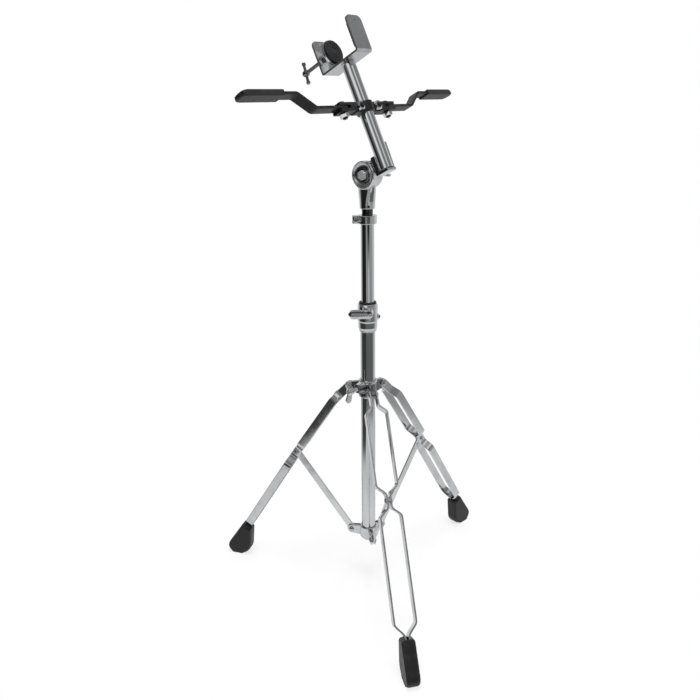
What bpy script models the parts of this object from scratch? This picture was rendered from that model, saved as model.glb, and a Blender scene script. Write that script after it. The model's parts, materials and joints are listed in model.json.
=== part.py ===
"""Bongo stand: double-braced folding tripod, telescoping column, tilter,
leaning arm tube with two support arms, and a U-shaped clamp for the drum block.

Frame: metres, +Z up, floor at z = 0. The tilter turns about Y, so the arm
leans in the XZ plane. Angles around the column are counted from +X.
"""
import math

import bmesh
import bpy
from mathutils import Matrix, Vector

MM = 0.001

# Clearances
GAP = 0.3 * MM              # between faces that touch on the real stand
BORE_GAP = 0.35 * MM        # radial, around a tube or shank in its bore
SLIDE_GAP = 0.4 * MM        # radial, between the two column tubes
STEM_GAP = 0.9 * MM         # radial, between the stem and the upper tube

# Where the column stands, so that the stand's box is centred on the origin
COLUMN_X = 19.5 * MM
COLUMN_Y = -25.0 * MM

# Fasteners
M8_RADIUS = 4.0 * MM
M8_FLAT = 13.0 * MM
M8_NUT = 6.5 * MM
M8_HEAD_RADIUS = 7.0 * MM
M8_HEAD = 4.0 * MM
RIVET_RADIUS = 3.0 * MM
RIVET_HEAD_RADIUS = RIVET_RADIUS + 1.9 * MM
RIVET_HEAD = 2.3 * MM

# Column tubes; the bottom is above the floor, the rest follows from the lengths
LOWER_TUBE_RADIUS = 12.7 * MM
LOWER_TUBE_WALL = 1.2 * MM
LOWER_TUBE_BOTTOM = 88.5 * MM
LOWER_TUBE_LENGTH = 423.5 * MM
LOWER_TUBE_TOP = LOWER_TUBE_BOTTOM + LOWER_TUBE_LENGTH
UPPER_TUBE_RADIUS = LOWER_TUBE_RADIUS - LOWER_TUBE_WALL - SLIDE_GAP
UPPER_TUBE_WALL = 1.2 * MM
UPPER_TUBE_LENGTH = 384.0 * MM
UPPER_TUBE_DRAWN = 172.0 * MM           # how much of it stands above the lower tube
UPPER_TUBE_TOP = LOWER_TUBE_TOP + UPPER_TUBE_DRAWN
UPPER_TUBE_BOTTOM = UPPER_TUBE_TOP - UPPER_TUBE_LENGTH
STEM_RADIUS = UPPER_TUBE_RADIUS - UPPER_TUBE_WALL - STEM_GAP
STEM_WALL = 2.0 * MM
STEM_IN_TUBE = 74.0 * MM
STEM_BOTTOM = UPPER_TUBE_TOP - STEM_IN_TUBE
PLUG_HEAD = 3.0 * MM
PLUG_DEPTH = 14.0 * MM

# Height clamp on the lower tube's top end
CLAMP_SLEEVE_HEIGHT = 17.5 * MM
CLAMP_HEIGHT = 49.0 * MM
CLAMP_BOTTOM = LOWER_TUBE_TOP - CLAMP_SLEEVE_HEIGHT
CLAMP_TOP = CLAMP_BOTTOM + CLAMP_HEIGHT
CLAMP_RADIUS = LOWER_TUBE_RADIUS + 4.3 * MM
CLAMP_SLEEVE_RADIUS = LOWER_TUBE_RADIUS + 3.3 * MM
CLAMP_LIP_RADIUS = LOWER_TUBE_RADIUS + 2.2 * MM
BUSHING_LIP = 1.6 * MM
BUSHING_LIP_RADIUS = LOWER_TUBE_RADIUS + 1.9 * MM
LEVER_ANGLE = -49.8
LEVER_HEIGHT = CLAMP_TOP - 13.0 * MM
LEVER_BOSS_RADIUS = 7.5 * MM
LEVER_BOSS_REACH = CLAMP_RADIUS + 2.5 * MM
LEVER_HUB_RADIUS = 7.8 * MM
LEVER_HUB_LENGTH = 9.0 * MM
LEVER_SHANK_RADIUS = 3.7 * MM
LEVER_REACH = 33.0 * MM
LEVER_TIP_RADIUS = 8.4 * MM
LEVER_ROOT_HALF = 6.8 * MM
LEVER_THICKNESS = 6.0 * MM
SET_SCREW_ANGLE = 40.2
SET_SCREW_HEIGHT = CLAMP_TOP - 24.5 * MM
SET_SCREW_BOSS_REACH = CLAMP_RADIUS + 2.0 * MM
SET_SCREW_BOSS_RADIUS = 5.0 * MM
SET_SCREW_HEAD_RADIUS = 2.9 * MM
SET_SCREW_HEAD = 1.8 * MM
SET_SCREW_RADIUS = 1.9 * MM

# Lock ring on the upper tube's top end
RING_OVERLAP = 8.0 * MM
RING_RISE = 5.5 * MM
RING_BOTTOM = UPPER_TUBE_TOP - RING_OVERLAP
RING_TOP = UPPER_TUBE_TOP + RING_RISE
RING_RADIUS = UPPER_TUBE_RADIUS + 4.3 * MM
RING_BOLT_RADIUS = 2.9 * MM
RING_BOLT_HEAD_RADIUS = 4.6 * MM
RING_BOLT_HEAD = 2.6 * MM
RING_BOLT_KEY_HALF = 2.4 * MM
RING_BOLT_KEY = 3.6 * MM
RING_BOLT_AT = UPPER_TUBE_RADIUS + 4.8 * MM + RING_BOLT_RADIUS
RING_LUG_ANGLE = 220.2
RING_LUG_REACH = RING_BOLT_AT + RING_BOLT_RADIUS + 2.8 * MM
RING_LUG_HALF = 7.0 * MM
RING_SLIT = 1.5 * MM

# Legs, as (distance from the column, height) in the plane of each leg
LEG_ANGLES = (-37.65, 82.35, 202.35)
COLLAR_RADIUS = LOWER_TUBE_RADIUS + 3.5 * MM
BASE_COLLAR_RADIUS = LOWER_TUBE_RADIUS + 2.9 * MM
BASE_COLLAR_BOTTOM = LOWER_TUBE_BOTTOM - 0.5 * MM
BASE_COLLAR_HEIGHT = 24.0 * MM
BASE_COLLAR_TOP = BASE_COLLAR_BOTTOM + BASE_COLLAR_HEIGHT
LEG_HINGE_HEIGHT = 390.0 * MM
LEG_HINGE = (COLLAR_RADIUS + 17.8 * MM, LEG_HINGE_HEIGHT)
LEG_BEND = (LEG_HINGE[0] + 26.7 * MM, LEG_HINGE_HEIGHT - 27.5 * MM)
LEG_STRUT_JOINT = (138.0 * MM, 245.0 * MM)
LEG_FOOT_REACH = 250.0 * MM
LEG_FOOT_HEIGHT = 65.0 * MM
LEG_FOOT = (LEG_FOOT_REACH, LEG_FOOT_HEIGHT)
STRUT_HINGE = (BASE_COLLAR_RADIUS + 16.4 * MM, BASE_COLLAR_BOTTOM + 10.5 * MM)
STRIP_WIDTH = 15.0 * MM
STRIP_THICKNESS = 3.0 * MM
STRIP_SPREAD = 18.0 * MM
STRIP_PINCH_LENGTH = 9.0 * MM
TOP_BOW_LENGTH = 15.0 * MM
STRIP_BOW_LENGTH = 18.0 * MM
FOOT_BOW_LENGTH = 23.0 * MM
LEG_BEND_LENGTH = 4.0 * MM
STRIP_IN_FOOT = 18.0 * MM
STRUT_WIDTH = 13.0 * MM
STRUT_THICKNESS = 2.8 * MM

# Sliding collar
COLLAR_BOTTOM = LEG_HINGE_HEIGHT - 15.0 * MM
COLLAR_TOP = LEG_HINGE_HEIGHT + 16.0 * MM
COLLAR_LUG_THICKNESS = 8.0 * MM
COLLAR_LUG_RADIUS = RIVET_RADIUS + 4.8 * MM
WING_BOLT_ANGLE = -97.65
WING_BOLT_HEIGHT = LEG_HINGE_HEIGHT + 4.5 * MM
WING_BOSS_REACH = COLLAR_RADIUS + 10.8 * MM
WING_BOSS_RADIUS = 8.2 * MM
WING_BOSS_ROOT_RADIUS = 10.6 * MM
WING_SHANK_RADIUS = 3.8 * MM
WING_HUB_START = WING_BOSS_REACH + 10.0 * MM
WING_HUB_LENGTH = 11.0 * MM
WING_HUB_RADIUS = WING_SHANK_RADIUS + 2.6 * MM
WING_SPAN = 41.0 * MM
WING_THICKNESS = 3.6 * MM

# Ears of the lower collar
BASE_EAR_THICKNESS = 2.6 * MM
BASE_EAR_RADIUS = RIVET_RADIUS + 5.4 * MM

# Feet: corners of a boot in the plane of its leg, as (distance past the leg's
# centre line at that height, height, radius of the corner)
FOOT_CORNERS = ((-11.6 * MM, 60.0 * MM, 2.0 * MM), (-19.3 * MM, 46.0 * MM, 12.0 * MM),
                (-43.4 * MM, 0.0, 23.0 * MM), (9.3 * MM, 0.0, 13.0 * MM),
                (14.7 * MM, 22.0 * MM, 24.0 * MM), (11.9 * MM, 68.0 * MM, 2.0 * MM))
FOOT_THICKNESS = 23.0 * MM
FOOT_EDGE = 4.0 * MM
FOOT_SOLE_EDGE = 1.5 * MM

# Tilter; its casting stands above the lock ring and ends in an eye
TILTER_EYE_RADIUS = 22.0 * MM
TILTER_STEM_SHOWN = 15.7 * MM
TILTER_SOCKET = 28.8 * MM
TILTER_BOTTOM = UPPER_TUBE_TOP + TILTER_STEM_SHOWN
TILTER_SOCKET_TOP = TILTER_BOTTOM + TILTER_SOCKET
PIVOT_HEIGHT = TILTER_SOCKET_TOP + 2.0 * MM + TILTER_EYE_RADIUS
TILTER_NECK_RADIUS = STEM_RADIUS + 3.6 * MM
TILTER_SHOULDER = TILTER_SOCKET_TOP + 6.2 * MM
TILTER_SHOULDER_HALF_X = TILTER_NECK_RADIUS + 3.9 * MM
TILTER_EYE_NEAR = -0.2 * MM - TILTER_NECK_RADIUS
TILTER_SHOULDER_NEAR = TILTER_EYE_NEAR + 0.8 * MM
TILTER_SHOULDER_FAR = TILTER_NECK_RADIUS - 2.1 * MM
TILTER_EYE_RIM = 2.0 * MM
TILTER_RECESS_RADIUS = TILTER_EYE_RADIUS - 6.5 * MM
TILTER_RECESS_DEPTH = 4.2 * MM
TILTER_BOLT_RADIUS = 4.0 * MM
TILTER_WASHER_RADIUS = TILTER_BOLT_RADIUS + 6.5 * MM
TILTER_WASHER = 1.6 * MM
TILTER_BOLT_HEAD_FLAT = 2 * TILTER_BOLT_RADIUS + 5.0 * MM
TILTER_BOLT_HEAD = 5.3 * MM

# Arm, in its own frame: x across, y away from the camera, z along the arm tube
ARM_LEAN = 26.0
ARM_TUBE_RADIUS = 11.1 * MM
ARM_TUBE_WALL = 1.5 * MM
SADDLE_CHEEK = 4.7 * MM
BRACKET_PLATE = 3.0 * MM
BRACKET_CHEEK_LEFT = TILTER_EYE_RADIUS + 3 * GAP
ARM_OFFSET = BRACKET_CHEEK_LEFT + SADDLE_CHEEK + GAP + ARM_TUBE_RADIUS
BRACKET_EYE_RADIUS = TILTER_EYE_RADIUS - 1.0 * MM
BRACKET_FAR = ARM_TUBE_RADIUS + GAP + BRACKET_PLATE
BRACKET_NEAR = 2.1 * MM - ARM_TUBE_RADIUS
BRACKET_BASE_BOTTOM = -12.2 * MM
BRACKET_BASE_TOP = -7.2 * MM
BRACKET_CHEEK_TOP = 18.0 * MM
BRACKET_PLATE_TOP = 36.0 * MM
BRACKET_RIGHT = ARM_OFFSET + 8.0 * MM

# Wing nut of the tilter
TILTER_NUT_START = BRACKET_FAR + 0.5 * MM
TILTER_NUT_LENGTH = 12.0 * MM
TILTER_NUT_RADIUS = TILTER_BOLT_RADIUS + 3.6 * MM
TILTER_NUT_SPAN = 53.0 * MM
TILTER_NUT_TILT = 4.0

# U-bracket on the arm tube's end
YOKE_PLATE = 3.0 * MM
YOKE_BEND = 4.0 * MM
YOKE_CORNER = 9.0 * MM
YOKE_UNDERSIDE = 163.3 * MM
YOKE_FLANGE = 56.1 * MM
YOKE_TOP = YOKE_UNDERSIDE + YOKE_FLANGE
YOKE_LEFT = ARM_OFFSET - 41.1 * MM
YOKE_RIGHT = ARM_OFFSET + 37.7 * MM
YOKE_HALF_WIDTH = 17.6 * MM
YOKE_HOLE_RADIUS = 2.2 * MM
YOKE_HOLE_DROP = 6.0 * MM

# Clamp screw, its disc and the pad that faces it
SCREW_HEIGHT = YOKE_UNDERSIDE + 28.2 * MM
SCREW_RADIUS = 3.0 * MM
HANDLE_LENGTH = 36.0 * MM
HANDLE_RADIUS = 2.4 * MM
HANDLE_TURN = -9.0
SCREW_HUB_AT = YOKE_LEFT - 43.9 * MM
SCREW_HUB_RADIUS = HANDLE_RADIUS + 2.8 * MM
SCREW_HUB_HALF = HANDLE_RADIUS + 3.2 * MM
WELD_NUT_FLAT = 2 * SCREW_RADIUS + 7.0 * MM
WELD_NUT_LENGTH = 8.0 * MM
DISC_RADIUS = 18.6 * MM
DISC_RUBBER = 6.4 * MM
CUP_PLATE = 2.0 * MM
CUP_RIM = 1.1 * MM
CUP_RIM_DEPTH = 2.6 * MM
CUP_HUB_RADIUS = SCREW_RADIUS + 3.6 * MM
CUP_HUB = 4.0 * MM
CUP_HUB_START = YOKE_LEFT + YOKE_PLATE + GAP + WELD_NUT_LENGTH + 1.0 * MM
DISC_FACE = CUP_HUB_START + CUP_HUB + CUP_PLATE + GAP + DISC_RUBBER
JAW_PAD = 3.0 * MM
JAW_PAD_HALF = YOKE_HALF_WIDTH - 2.6 * MM
JAW_PAD_BOTTOM = YOKE_UNDERSIDE + 8.7 * MM
JAW_PAD_TOP = YOKE_TOP - 11.4 * MM

# Support arms; y is counted from the arm tube, the same to both sides
ARM_CLAMP_HEIGHT = 90.6 * MM
ARM_CLAMP_RING_HALF = M8_RADIUS + 4.0 * MM
ARM_CLAMP_WALL = 3.0 * MM
ARM_CLAMP_SPLIT = 0.7 * MM
ARM_CLAMP_EAR = 6.5 * MM
ARM_CLAMP_BOLT_AT = ARM_TUBE_RADIUS + ARM_CLAMP_WALL + M8_RADIUS + 2.9 * MM
ARM_CLAMP_EAR_END = ARM_CLAMP_BOLT_AT + M8_FLAT / 2 + 2.0 * MM
ARM_BAR_HALF = 9.0 * MM
ARM_BAR_THICKNESS = 4.4 * MM
ARM_CLAMP_BLOCK_START = ARM_CLAMP_EAR_END
ARM_PIVOT_AT = ARM_CLAMP_BLOCK_START + ARM_BAR_HALF + 14.2 * MM
ARM_CLAMP_BLOCK_END = ARM_PIVOT_AT + M8_RADIUS + 9.3 * MM
ARM_CLAMP_BLOCK_HALF = ARM_BAR_HALF + 0.6 * MM
ARM_CLAMP_BLOCK_RISE = ARM_BAR_THICKNESS / 2 + GAP + 4.3 * MM
ARM_RISE_START = ARM_PIVOT_AT + 62.5 * MM
ARM_RISE_LENGTH = 29.2 * MM
ARM_RISE_END = ARM_RISE_START + ARM_RISE_LENGTH
ARM_RISE = 21.7 * MM
ARM_PAD_START = ARM_RISE_END + 27.0 * MM
ARM_PAD_LENGTH = 76.6 * MM
ARM_PAD_END = ARM_PAD_START + ARM_PAD_LENGTH
ARM_PAD_HALF = ARM_BAR_HALF + 2.0 * MM
ARM_PAD_THICKNESS = ARM_BAR_THICKNESS + 4.6 * MM
ARM_PAD_WALL = 1.9 * MM

ROUND = 32                  # sides of a tube
SMALL_ROUND = 16            # sides of a bolt


# Materials

FINISHES = {
    "chrome": ((0.80, 0.81, 0.82), 0.12, 1.0),
    "dark_chrome": ((0.16, 0.17, 0.17), 0.22, 1.0),
    "black_paint": ((0.018, 0.018, 0.020), 0.42, 0.0),
    "black_rubber": ((0.022, 0.022, 0.023), 0.78, 0.0),
    "black_nylon": ((0.030, 0.030, 0.032), 0.55, 0.0),
    "zinc": ((0.62, 0.63, 0.64), 0.34, 1.0),
}


def material_for(name, finish):
    """A Principled material of its own for one piece."""
    colour, roughness, metallic = FINISHES[finish]
    material = bpy.data.materials.new(name + "_" + finish)
    material.use_nodes = True
    shader = material.node_tree.nodes["Principled BSDF"]
    shader.inputs["Base Color"].default_value = (*colour, 1.0)
    shader.inputs["Roughness"].default_value = roughness
    shader.inputs["Metallic"].default_value = metallic
    return material


# Mesh helpers

def finish_mesh(name, bm, finish, parent, smooth_angle=35.0):
    """Turn a closed bmesh into a named, parented, shaded object."""
    bmesh.ops.remove_doubles(bm, verts=bm.verts, dist=0.00001)
    bmesh.ops.recalc_face_normals(bm, faces=bm.faces)
    mesh = bpy.data.meshes.new(name)
    bm.to_mesh(mesh)
    bm.free()
    mesh.shade_smooth()
    mesh.set_sharp_from_angle(angle=math.radians(smooth_angle))
    piece = bpy.data.objects.new(name, mesh)
    bpy.context.scene.collection.objects.link(piece)
    piece.parent = parent
    mesh.materials.append(material_for(name, finish))
    return piece


def rings_to_bmesh(rings):
    """Bridge equal rings of points in order and cap both ends."""
    bm = bmesh.new()
    loops = [[bm.verts.new(point) for point in ring] for ring in rings]
    count = len(loops[0])
    for lower, upper in zip(loops, loops[1:]):
        for i in range(count):
            j = (i + 1) % count
            bm.faces.new((lower[i], lower[j], upper[j], upper[i]))
    bm.faces.new(list(reversed(loops[0])))
    bm.faces.new(loops[-1])
    return bm


def turned(profile, sides=ROUND):
    """Revolve a closed (radius, height) outline about Z."""
    bm = bmesh.new()
    columns = []
    poles = {}
    for i in range(sides):
        angle = 2 * math.pi * i / sides
        column = []
        for k, (radius, height) in enumerate(profile):
            if radius == 0:
                if k not in poles:
                    poles[k] = bm.verts.new((0, 0, height))
                column.append(poles[k])
            else:
                point = (radius * math.cos(angle), radius * math.sin(angle), height)
                column.append(bm.verts.new(point))
        columns.append(column)
    count = len(profile)
    for i in range(sides):
        left = columns[i]
        right = columns[(i + 1) % sides]
        for k in range(count):
            m = (k + 1) % count
            corners = []
            for vertex in (left[k], right[k], right[m], left[m]):
                if vertex not in corners:
                    corners.append(vertex)
            if len(corners) > 2:
                bm.faces.new(corners)
    return bm


def rod(radius, start, end, chamfer=0.0, sides=SMALL_ROUND):
    """A solid round bar along Z, with chamfered ends."""
    if chamfer:
        profile = [(0, start), (radius - chamfer, start), (radius, start + chamfer),
                   (radius, end - chamfer), (radius - chamfer, end), (0, end)]
    else:
        profile = [(0, start), (radius, start), (radius, end), (0, end)]
    return turned(profile, sides)


def tube(outer, inner, bottom, top, sides=ROUND):
    """A round tube along Z."""
    return turned([(inner, bottom), (outer, bottom), (outer, top), (inner, top)], sides)


def prism(outline, low, high):
    """Extrude an (x, y) outline from z = low to z = high."""
    rings = [[(x, y, z) for x, y in outline] for z in (low, high)]
    return rings_to_bmesh(rings)


def box(low, high):
    """A block between two corners."""
    outline = [(low[0], low[1]), (high[0], low[1]), (high[0], high[1]), (low[0], high[1])]
    return prism(outline, low[2], high[2])


def arc(centre, radius, start, end, steps):
    """Points on an arc, angles in degrees."""
    points = []
    for i in range(steps + 1):
        angle = math.radians(start + (end - start) * i / steps)
        points.append((centre[0] + radius * math.cos(angle),
                       centre[1] + radius * math.sin(angle)))
    return points


def hexagon(flat):
    """Outline of a hexagon of the given width across flats."""
    return arc((0, 0), flat / 2 / math.cos(math.pi / 6), 0, 300, 5)


def moved(bm, matrix):
    """Transform a bmesh in place."""
    bmesh.ops.transform(bm, matrix=matrix, verts=bm.verts)
    return bm


def along(direction, origin=(0, 0, 0)):
    """Matrix that takes the Z axis to a direction and the origin to a point."""
    turn = Vector(direction).to_track_quat("Z", "Y").to_matrix().to_4x4()
    return Matrix.Translation(origin) @ turn


ALONG_Y = Matrix.Rotation(math.radians(-90), 4, "X")
ALONG_X = Matrix.Rotation(math.radians(90), 4, "Y")
# Takes outline (x, y) to the XZ plane, and extrusion height to -Y
UPRIGHT = Matrix.Rotation(math.radians(90), 4, "X")


def tool(bm, parent):
    """A hidden solid that a Boolean uses."""
    piece = finish_mesh("tool", bm, "zinc", parent)
    piece.hide_render = True
    piece.display_type = "WIRE"
    return piece


def boolean(piece, bm, operation, frame=None):
    """Cut, join or intersect a piece with a solid given in the same frame."""
    modifier = piece.modifiers.new(operation.lower(), "BOOLEAN")
    modifier.operation = operation
    modifier.solver = "EXACT"
    modifier.object = tool(bm, frame if frame else piece.parent)
    return piece


def join(piece, bm, frame=None):
    return boolean(piece, bm, "UNION", frame)


def cut(piece, bm, frame=None):
    return boolean(piece, bm, "DIFFERENCE", frame)


def bevel(piece, width, segments=1, angle=40.0):
    """Round the sharp edges of a piece."""
    modifier = piece.modifiers.new("bevel", "BEVEL")
    modifier.width = width
    modifier.segments = segments
    modifier.limit_method = "ANGLE"
    modifier.angle_limit = math.radians(angle)
    modifier.use_clamp_overlap = True
    return piece


def frame(name, parent=None, location=(0, 0, 0), turn=None):
    """An empty that carries pieces, placed on a joint or a centre line."""
    empty = bpy.data.objects.new(name, None)
    bpy.context.scene.collection.objects.link(empty)
    empty.parent = parent
    empty.location = location
    if turn:
        empty.rotation_euler = [math.radians(a) for a in turn]
    return empty


def radial(angle):
    """Unit vector away from the column at an angle in degrees."""
    return Vector((math.cos(math.radians(angle)), math.sin(math.radians(angle)), 0))


# Column

def build_column(stand):
    """Lower tube, its plug, and the height clamp with its bushing and screws."""
    bore = LOWER_TUBE_RADIUS - LOWER_TUBE_WALL
    tube_mesh = tube(LOWER_TUBE_RADIUS, bore, LOWER_TUBE_BOTTOM, LOWER_TUBE_TOP)
    finish_mesh("lower_tube", tube_mesh, "chrome", stand)

    head_top = LOWER_TUBE_BOTTOM - GAP
    head_bottom = head_top - PLUG_HEAD
    plug_radius = bore - BORE_GAP
    plug_top = LOWER_TUBE_BOTTOM + PLUG_DEPTH
    profile = [(0, head_bottom), (LOWER_TUBE_RADIUS - 1.5 * MM, head_bottom),
               (LOWER_TUBE_RADIUS, head_bottom + 1.5 * MM), (LOWER_TUBE_RADIUS, head_top),
               (plug_radius, head_top), (plug_radius, plug_top - 2 * MM),
               (plug_radius - 1.5 * MM, plug_top), (0, plug_top)]
    finish_mesh("tube_plug", turned(profile), "black_nylon", stand)

    build_height_clamp(stand)
    build_bushing(stand)
    build_set_screw(stand)
    build_clamp_lever(stand)


def build_height_clamp(stand):
    """Cast clamp on top of the lower tube, with a boss for the lever screw."""
    bore = LOWER_TUBE_RADIUS + BORE_GAP
    sleeve_top = CLAMP_BOTTOM + CLAMP_SLEEVE_HEIGHT
    profile = [(bore, CLAMP_BOTTOM), (CLAMP_LIP_RADIUS, CLAMP_BOTTOM),
               (CLAMP_LIP_RADIUS, CLAMP_BOTTOM + 2.5 * MM),
               (CLAMP_SLEEVE_RADIUS, CLAMP_BOTTOM + 6.5 * MM),
               (CLAMP_SLEEVE_RADIUS + 0.4 * MM, sleeve_top),
               (CLAMP_RADIUS, sleeve_top + 1.6 * MM),
               (CLAMP_RADIUS, CLAMP_TOP - 5.0 * MM),
               (CLAMP_RADIUS - 1.6 * MM, CLAMP_TOP), (bore, CLAMP_TOP)]
    clamp = finish_mesh("height_clamp", turned(profile), "chrome", stand)
    inside = bore + 0.6 * MM
    lever_line = along(radial(LEVER_ANGLE), (0, 0, LEVER_HEIGHT))
    boss = turned([(0, inside), (LEVER_BOSS_RADIUS + 1.5 * MM, inside),
                   (LEVER_BOSS_RADIUS, LEVER_BOSS_REACH), (0, LEVER_BOSS_REACH)], 24)
    join(clamp, moved(boss, lever_line))
    screw_line = along(radial(SET_SCREW_ANGLE), (0, 0, SET_SCREW_HEIGHT))
    boss = rod(SET_SCREW_BOSS_RADIUS, inside, SET_SCREW_BOSS_REACH, 0, 20)
    join(clamp, moved(boss, screw_line))
    hole = rod(LEVER_SHANK_RADIUS + BORE_GAP, 0, 2 * LEVER_BOSS_REACH)
    cut(clamp, moved(hole, lever_line))
    hole = rod(SET_SCREW_RADIUS + BORE_GAP, 0, 2 * SET_SCREW_BOSS_REACH)
    cut(clamp, moved(hole, screw_line))


def build_bushing(stand):
    """Nylon sleeve in the clamp that guides the upper tube."""
    inner = UPPER_TUBE_RADIUS + BORE_GAP
    bottom = LOWER_TUBE_TOP + GAP
    lip_bottom = CLAMP_TOP + GAP
    profile = [(inner, bottom), (LOWER_TUBE_RADIUS, bottom), (LOWER_TUBE_RADIUS, lip_bottom),
               (BUSHING_LIP_RADIUS, lip_bottom),
               (BUSHING_LIP_RADIUS - 0.6 * MM, lip_bottom + BUSHING_LIP),
               (inner, lip_bottom + BUSHING_LIP)]
    finish_mesh("height_bushing", turned(profile), "black_nylon", stand)


def build_set_screw(stand):
    """Small dark screw that fixes the clamp to the lower tube."""
    start = LOWER_TUBE_RADIUS + GAP
    seat = SET_SCREW_BOSS_REACH + GAP
    profile = [(0, start), (SET_SCREW_RADIUS, start), (SET_SCREW_RADIUS, seat),
               (SET_SCREW_HEAD_RADIUS, seat),
               (SET_SCREW_HEAD_RADIUS, seat + 0.6 * SET_SCREW_HEAD),
               (SET_SCREW_HEAD_RADIUS - 0.8 * MM, seat + SET_SCREW_HEAD),
               (0, seat + SET_SCREW_HEAD)]
    line = along(radial(SET_SCREW_ANGLE), (0, 0, SET_SCREW_HEIGHT))
    finish_mesh("clamp_set_screw", moved(turned(profile, SMALL_ROUND), line), "dark_chrome", stand)


def build_clamp_lever(stand):
    """Lever screw: shank, hub and a rounded paddle that points sideways."""
    axis_frame = frame("lever_axis", stand, (0, 0, LEVER_HEIGHT), (0, 0, LEVER_ANGLE))
    start = LOWER_TUBE_RADIUS + GAP
    seat = LEVER_BOSS_REACH + GAP
    end = seat + LEVER_HUB_LENGTH
    profile = [(0, start), (LEVER_SHANK_RADIUS, start), (LEVER_SHANK_RADIUS, seat),
               (LEVER_HUB_RADIUS, seat), (LEVER_HUB_RADIUS, end - 2.5 * MM),
               (LEVER_HUB_RADIUS - 2.5 * MM, end), (0, end)]
    lever = finish_mesh("clamp_lever", moved(turned(profile, 24), ALONG_X), "chrome", axis_frame)
    centre = LEVER_REACH - LEVER_TIP_RADIUS
    outline = arc((-centre, 0), LEVER_TIP_RADIUS, 90, 270, 10)
    outline += [(0, -LEVER_ROOT_HALF), (1 * MM, 0), (0, LEVER_ROOT_HALF)]
    paddle_end = end - 1.2 * MM
    paddle = prism(outline, paddle_end - LEVER_THICKNESS, paddle_end)
    # The outline's x runs along the tangent, its y up, its height away from the column
    turn = Matrix(((0, 0, 1, 0), (1, 0, 0, 0), (0, 1, 0, 0), (0, 0, 0, 1)))
    join(lever, moved(paddle, turn))
    bevel(lever, 1.0 * MM, 1, 50)


# Upper column

def build_upper_tube(stand):
    """Upper tube with the lock ring and its key bolt."""
    inner = UPPER_TUBE_RADIUS - UPPER_TUBE_WALL
    mesh = tube(UPPER_TUBE_RADIUS, inner, UPPER_TUBE_BOTTOM, UPPER_TUBE_TOP)
    finish_mesh("upper_tube", mesh, "chrome", stand)
    build_lock_ring(stand)
    build_lock_bolt(stand)


def build_lock_ring(stand):
    """Split ring that sits on the tube's end and grips the stem above it."""
    wide = UPPER_TUBE_RADIUS + BORE_GAP
    narrow = STEM_RADIUS + BORE_GAP
    step = UPPER_TUBE_TOP + GAP
    edge = 0.8 * MM
    profile = [(wide, RING_BOTTOM), (RING_RADIUS - edge, RING_BOTTOM),
               (RING_RADIUS, RING_BOTTOM + edge), (RING_RADIUS, RING_TOP - edge),
               (RING_RADIUS - edge, RING_TOP), (narrow, RING_TOP), (narrow, step), (wide, step)]
    ring = finish_mesh("lock_ring", turned(profile), "chrome", stand)
    turn = Matrix.Rotation(math.radians(RING_LUG_ANGLE), 4, "Z")
    inset = 0.7 * MM
    tip = 3.0 * MM
    outline = [(wide + 0.8 * MM, -RING_LUG_HALF), (RING_LUG_REACH - tip, -RING_LUG_HALF),
               (RING_LUG_REACH, tip - RING_LUG_HALF), (RING_LUG_REACH, RING_LUG_HALF - tip),
               (RING_LUG_REACH - tip, RING_LUG_HALF), (wide + 0.8 * MM, RING_LUG_HALF)]
    join(ring, moved(prism(outline, RING_BOTTOM + inset, RING_TOP - inset), turn))
    slit = box((0, -RING_SLIT / 2, RING_BOTTOM - 1 * MM),
               (2 * RING_LUG_REACH, RING_SLIT / 2, RING_TOP + 1 * MM))
    cut(ring, moved(slit, turn))
    hole = rod(RING_BOLT_RADIUS + BORE_GAP, -2 * RING_LUG_HALF, 2 * RING_LUG_HALF)
    cut(ring, moved(moved(hole, ALONG_Y), turn @ lock_bolt_place()))


def lock_bolt_place():
    """Where the key bolt's axis crosses the lug, in the lug's own frame."""
    return Matrix.Translation((RING_BOLT_AT, 0, (RING_BOTTOM + RING_TOP) / 2))


def build_lock_bolt(stand):
    """Key bolt across the lug: round head with a square for the key."""
    height = (RING_BOTTOM + RING_TOP) / 2
    spot = radial(RING_LUG_ANGLE) * RING_BOLT_AT
    axis_frame = frame("lock_bolt_axis", stand, (spot.x, spot.y, height), (0, 0, RING_LUG_ANGLE))
    seat = RING_LUG_HALF + GAP
    profile = [(0, -seat - 1.5 * MM), (RING_BOLT_RADIUS, -seat - 1.5 * MM),
               (RING_BOLT_RADIUS, seat), (RING_BOLT_HEAD_RADIUS, seat),
               (RING_BOLT_HEAD_RADIUS, seat + RING_BOLT_HEAD - 0.8 * MM),
               (RING_BOLT_HEAD_RADIUS - 0.8 * MM, seat + RING_BOLT_HEAD),
               (0, seat + RING_BOLT_HEAD)]
    bolt = finish_mesh("lock_bolt", moved(turned(profile, 20), ALONG_Y), "chrome", axis_frame)
    half = RING_BOLT_KEY_HALF
    key = box((-half, -half, seat + 1 * MM), (half, half, seat + RING_BOLT_HEAD + RING_BOLT_KEY))
    join(bolt, moved(key, ALONG_Y))


# Tripod

def leg_direction():
    """Unit vector down the leg below the strut joint, in the plane of the leg."""
    return (Vector(LEG_FOOT) - Vector(LEG_STRUT_JOINT)).normalized()


def foot_corners():
    """Corners of a boot as (distance from the column, height, radius)."""
    down = leg_direction()
    corners = []
    for past, height, radius in FOOT_CORNERS:
        centre = LEG_FOOT[0] + (height - LEG_FOOT[1]) * down.x / down.y
        corners.append((centre + past, height, radius))
    return corners


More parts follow.
